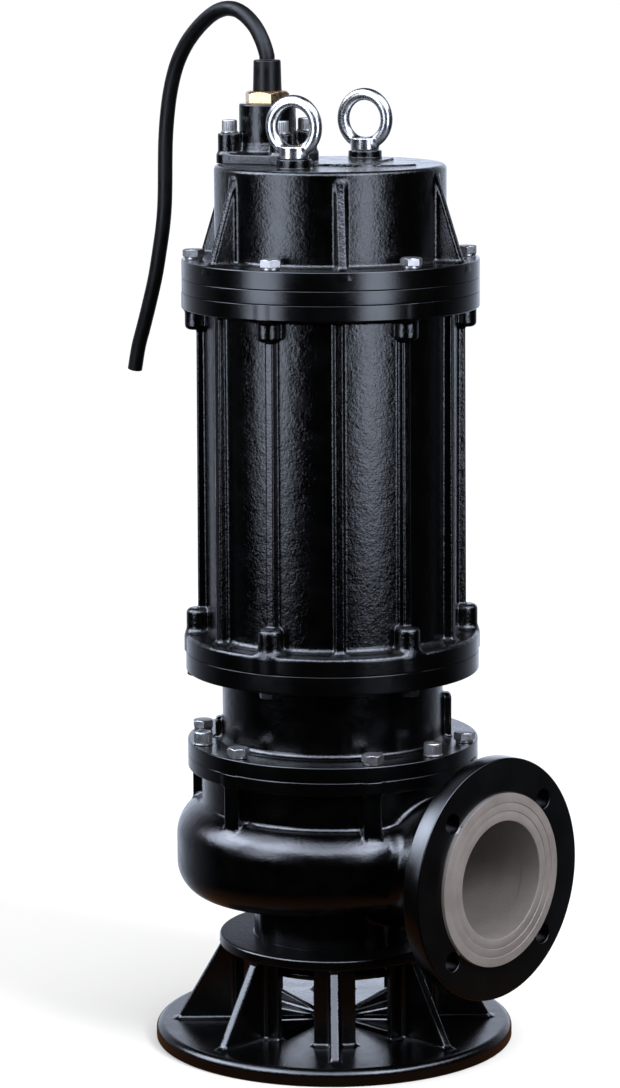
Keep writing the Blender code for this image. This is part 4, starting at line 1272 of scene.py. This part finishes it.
def panel(name, place, aim, width, height, brightness, gloss=True):
    """A soft light that shows only in gloss, or only lights matt surfaces; brightness as the eye sees it."""
    data = bpy.data.lights.new(name, "AREA")
    data.shape = "RECTANGLE"
    data.size = width
    data.size_y = height
    data.energy = brightness * math.pi * width * height
    data.color = LIGHT_TINT if gloss else (1.0, 1.0, 1.0)
    lamp = link(bpy.data.objects.new(name, data))
    lamp.location = place
    lamp.rotation_euler = (Vector(aim) - Vector(place)).to_track_quat("-Z", "Y").to_euler()
    lamp.visible_camera = False
    lamp.visible_diffuse = not gloss
    lamp.visible_glossy = gloss
    return lamp


def studio_panels():
    """Two upright soft boxes before the pump, whose feet stand off the floor, and a lamp into the bore."""
    foot = 0.35
    head = 1.80
    away = 0.90
    middle = (foot + head) / 2
    for name, degrees, width, brightness in (("panel_left", -50.5, 0.40, 4.8), ("panel_right", 33.0, 0.36, 4.8)):
        panel(name, around(FRONT_DEG + degrees, away, middle).translation, (0, 0, middle), width, head - foot,
              brightness)
    panel("back_glow", around(FRONT_DEG + 180.0, 0.62, 0.14).translation, (0, 0, 0.05), 0.22, 0.11, 1.6)
    panel("bore_lamp", around(FRONT_DEG + 44.0, 1.6, 1.30).translation, (0.15, 0, VOLUTE_MID), 0.6, 0.6, 22.0, False)


def studio_world():
    """White to the eye and to matt surfaces, and mostly dark in gloss."""
    world = bpy.data.worlds.new("studio")
    SCENE.world = world
    world.use_nodes = True
    tree = world.node_tree
    tree.nodes.clear()

    def node(kind, *inputs, **values):
        made = tree.nodes.new(kind)
        for key, value in values.items():
            setattr(made, key, value)
        for socket, source in inputs:
            if isinstance(source, bpy.types.NodeSocket):
                tree.links.new(source, made.inputs[socket])
            else:
                made.inputs[socket].default_value = source
        return made

    def by(value, low, high, stops, peak):
        """A brightness curve over a value, through the stops."""
        share = node("ShaderNodeMapRange", ("Value", value), ("From Min", low), ("From Max", high))
        ramp = node("ShaderNodeValToRGB", ("Fac", share.outputs["Result"]))
        tallest = max(level for _, level in stops)
        elements = ramp.color_ramp.elements
        while len(elements) < len(stops):
            elements.new(0.5)
        for element, (at, level) in zip(elements, stops):
            element.position = (at - low) / (high - low)
            element.color = (level / tallest, level / tallest, level / tallest, 1.0)
        return node("ShaderNodeMath", (0, ramp.outputs["Color"]), (1, peak), operation="MULTIPLY").outputs[0]

    direction = node("ShaderNodeTexCoord").outputs["Generated"]
    turned = node("ShaderNodeMapping", ("Vector", direction), ("Rotation", (0, 0, math.radians(-FRONT_DEG))))
    parts = node("ShaderNodeSeparateXYZ", ("Vector", turned.outputs["Vector"]))
    azimuth = node("ShaderNodeMath", (0, parts.outputs["Y"]), (1, parts.outputs["X"]), operation="ARCTAN2")
    degrees = node("ShaderNodeMath", (0, azimuth.outputs[0]), (1, 180.0 / math.pi), operation="MULTIPLY")
    rise = parts.outputs["Z"]
    room = node("ShaderNodeMath", (0, by(degrees.outputs[0], -180, 180, ROOM_AROUND, 1.5)),
                (1, by(rise, -1, 1, ROOM_HEIGHT, 1.0)), operation="MULTIPLY")
    sky = node("ShaderNodeMath", (0, by(degrees.outputs[0], -180, 180, SKY_AROUND, SKY_BRIGHTNESS)),
               (1, by(rise, -1, 1, SKY_HEIGHT, 1.0)), operation="MULTIPLY")
    side = node("ShaderNodeMath", (0, by(degrees.outputs[0], -180, 180, SIDE_AROUND, SIDE_BRIGHTNESS)),
                (1, by(rise, -1, 1, SIDE_HEIGHT, 1.0)), operation="MULTIPLY")
    lamps = node("ShaderNodeMath", (0, side.outputs[0]), (1, sky.outputs[0]), operation="ADD")
    mirrored = node("ShaderNodeMath", (0, room.outputs[0]), (1, lamps.outputs[0]), operation="ADD")
    gloss = node("ShaderNodeBackground", ("Color", (*LIGHT_TINT, 1.0)), ("Strength", mirrored.outputs[0]))
    above = node("ShaderNodeMapRange", ("Value", rise), ("From Min", -0.05), ("From Max", 0.05), ("To Min", 0.10),
                 ("To Max", 1.15))
    matt = node("ShaderNodeBackground", ("Color", (1.0, 1.0, 1.0, 1.0)), ("Strength", above.outputs["Result"]))
    path = node("ShaderNodeLightPath")
    mix = node("ShaderNodeMixShader", ("Fac", path.outputs["Is Glossy Ray"]), (1, matt.outputs[0]),
               (2, gloss.outputs[0]))
    node("ShaderNodeOutputWorld", ("Surface", mix.outputs[0]))


def floor():
    """Pale floor. In gloss it is a brown table top close to the pump, and the room shows beyond that."""
    size = 60.0
    mesh = bpy.data.meshes.new("floor")
    mesh.from_pydata([(-size, -size, 0), (size, -size, 0), (size, size, 0), (-size, size, 0)], [], [(0, 1, 2, 3)])
    made = link(bpy.data.objects.new("floor", mesh))
    shade = Shader("pale_floor", (0.9, 0.9, 0.9), 0.8)
    shade.set("Specular IOR Level", 0.0)
    reach = shade.node("ShaderNodeVectorMath", operation="LENGTH")
    shade.wire(shade.place, reach, 0)
    far = shade.remap(reach.outputs["Value"], 0.20, 0.42, 0.0, 1.0)
    table = shade.node("ShaderNodeEmission")
    table.inputs["Color"].default_value = (0.13, 0.060, 0.030, 1.0)
    room = shade.node("ShaderNodeBsdfTransparent")
    fade = shade.node("ShaderNodeMixShader")
    shade.wire(far, fade, "Fac")
    shade.wire(table.outputs[0], fade, 1)
    shade.wire(room.outputs[0], fade, 2)
    path = shade.node("ShaderNodeLightPath")
    mix = shade.node("ShaderNodeMixShader")
    shade.wire(path.outputs["Is Glossy Ray"], mix, "Fac")
    shade.wire(shade.principled.outputs[0], mix, 1)
    shade.wire(fade.outputs[0], mix, 2)
    shade.wire(mix.outputs[0], shade.tree.nodes["Material Output"], "Surface")
    mesh.materials.append(shade.material)
    made.visible_diffuse = False


make_camera()
power_cable()
cable_boot()
gland_nut()
gland_box()
lifting_eyes()
top_cap()
bearing_plate()
motor_body()
oil_chamber()
volute_casing()
discharge_flange()
base_stand()
dress_impeller()
fasteners()
studio_world()
studio_panels()
floor()
SCENE.view_settings.view_transform = "Standard"
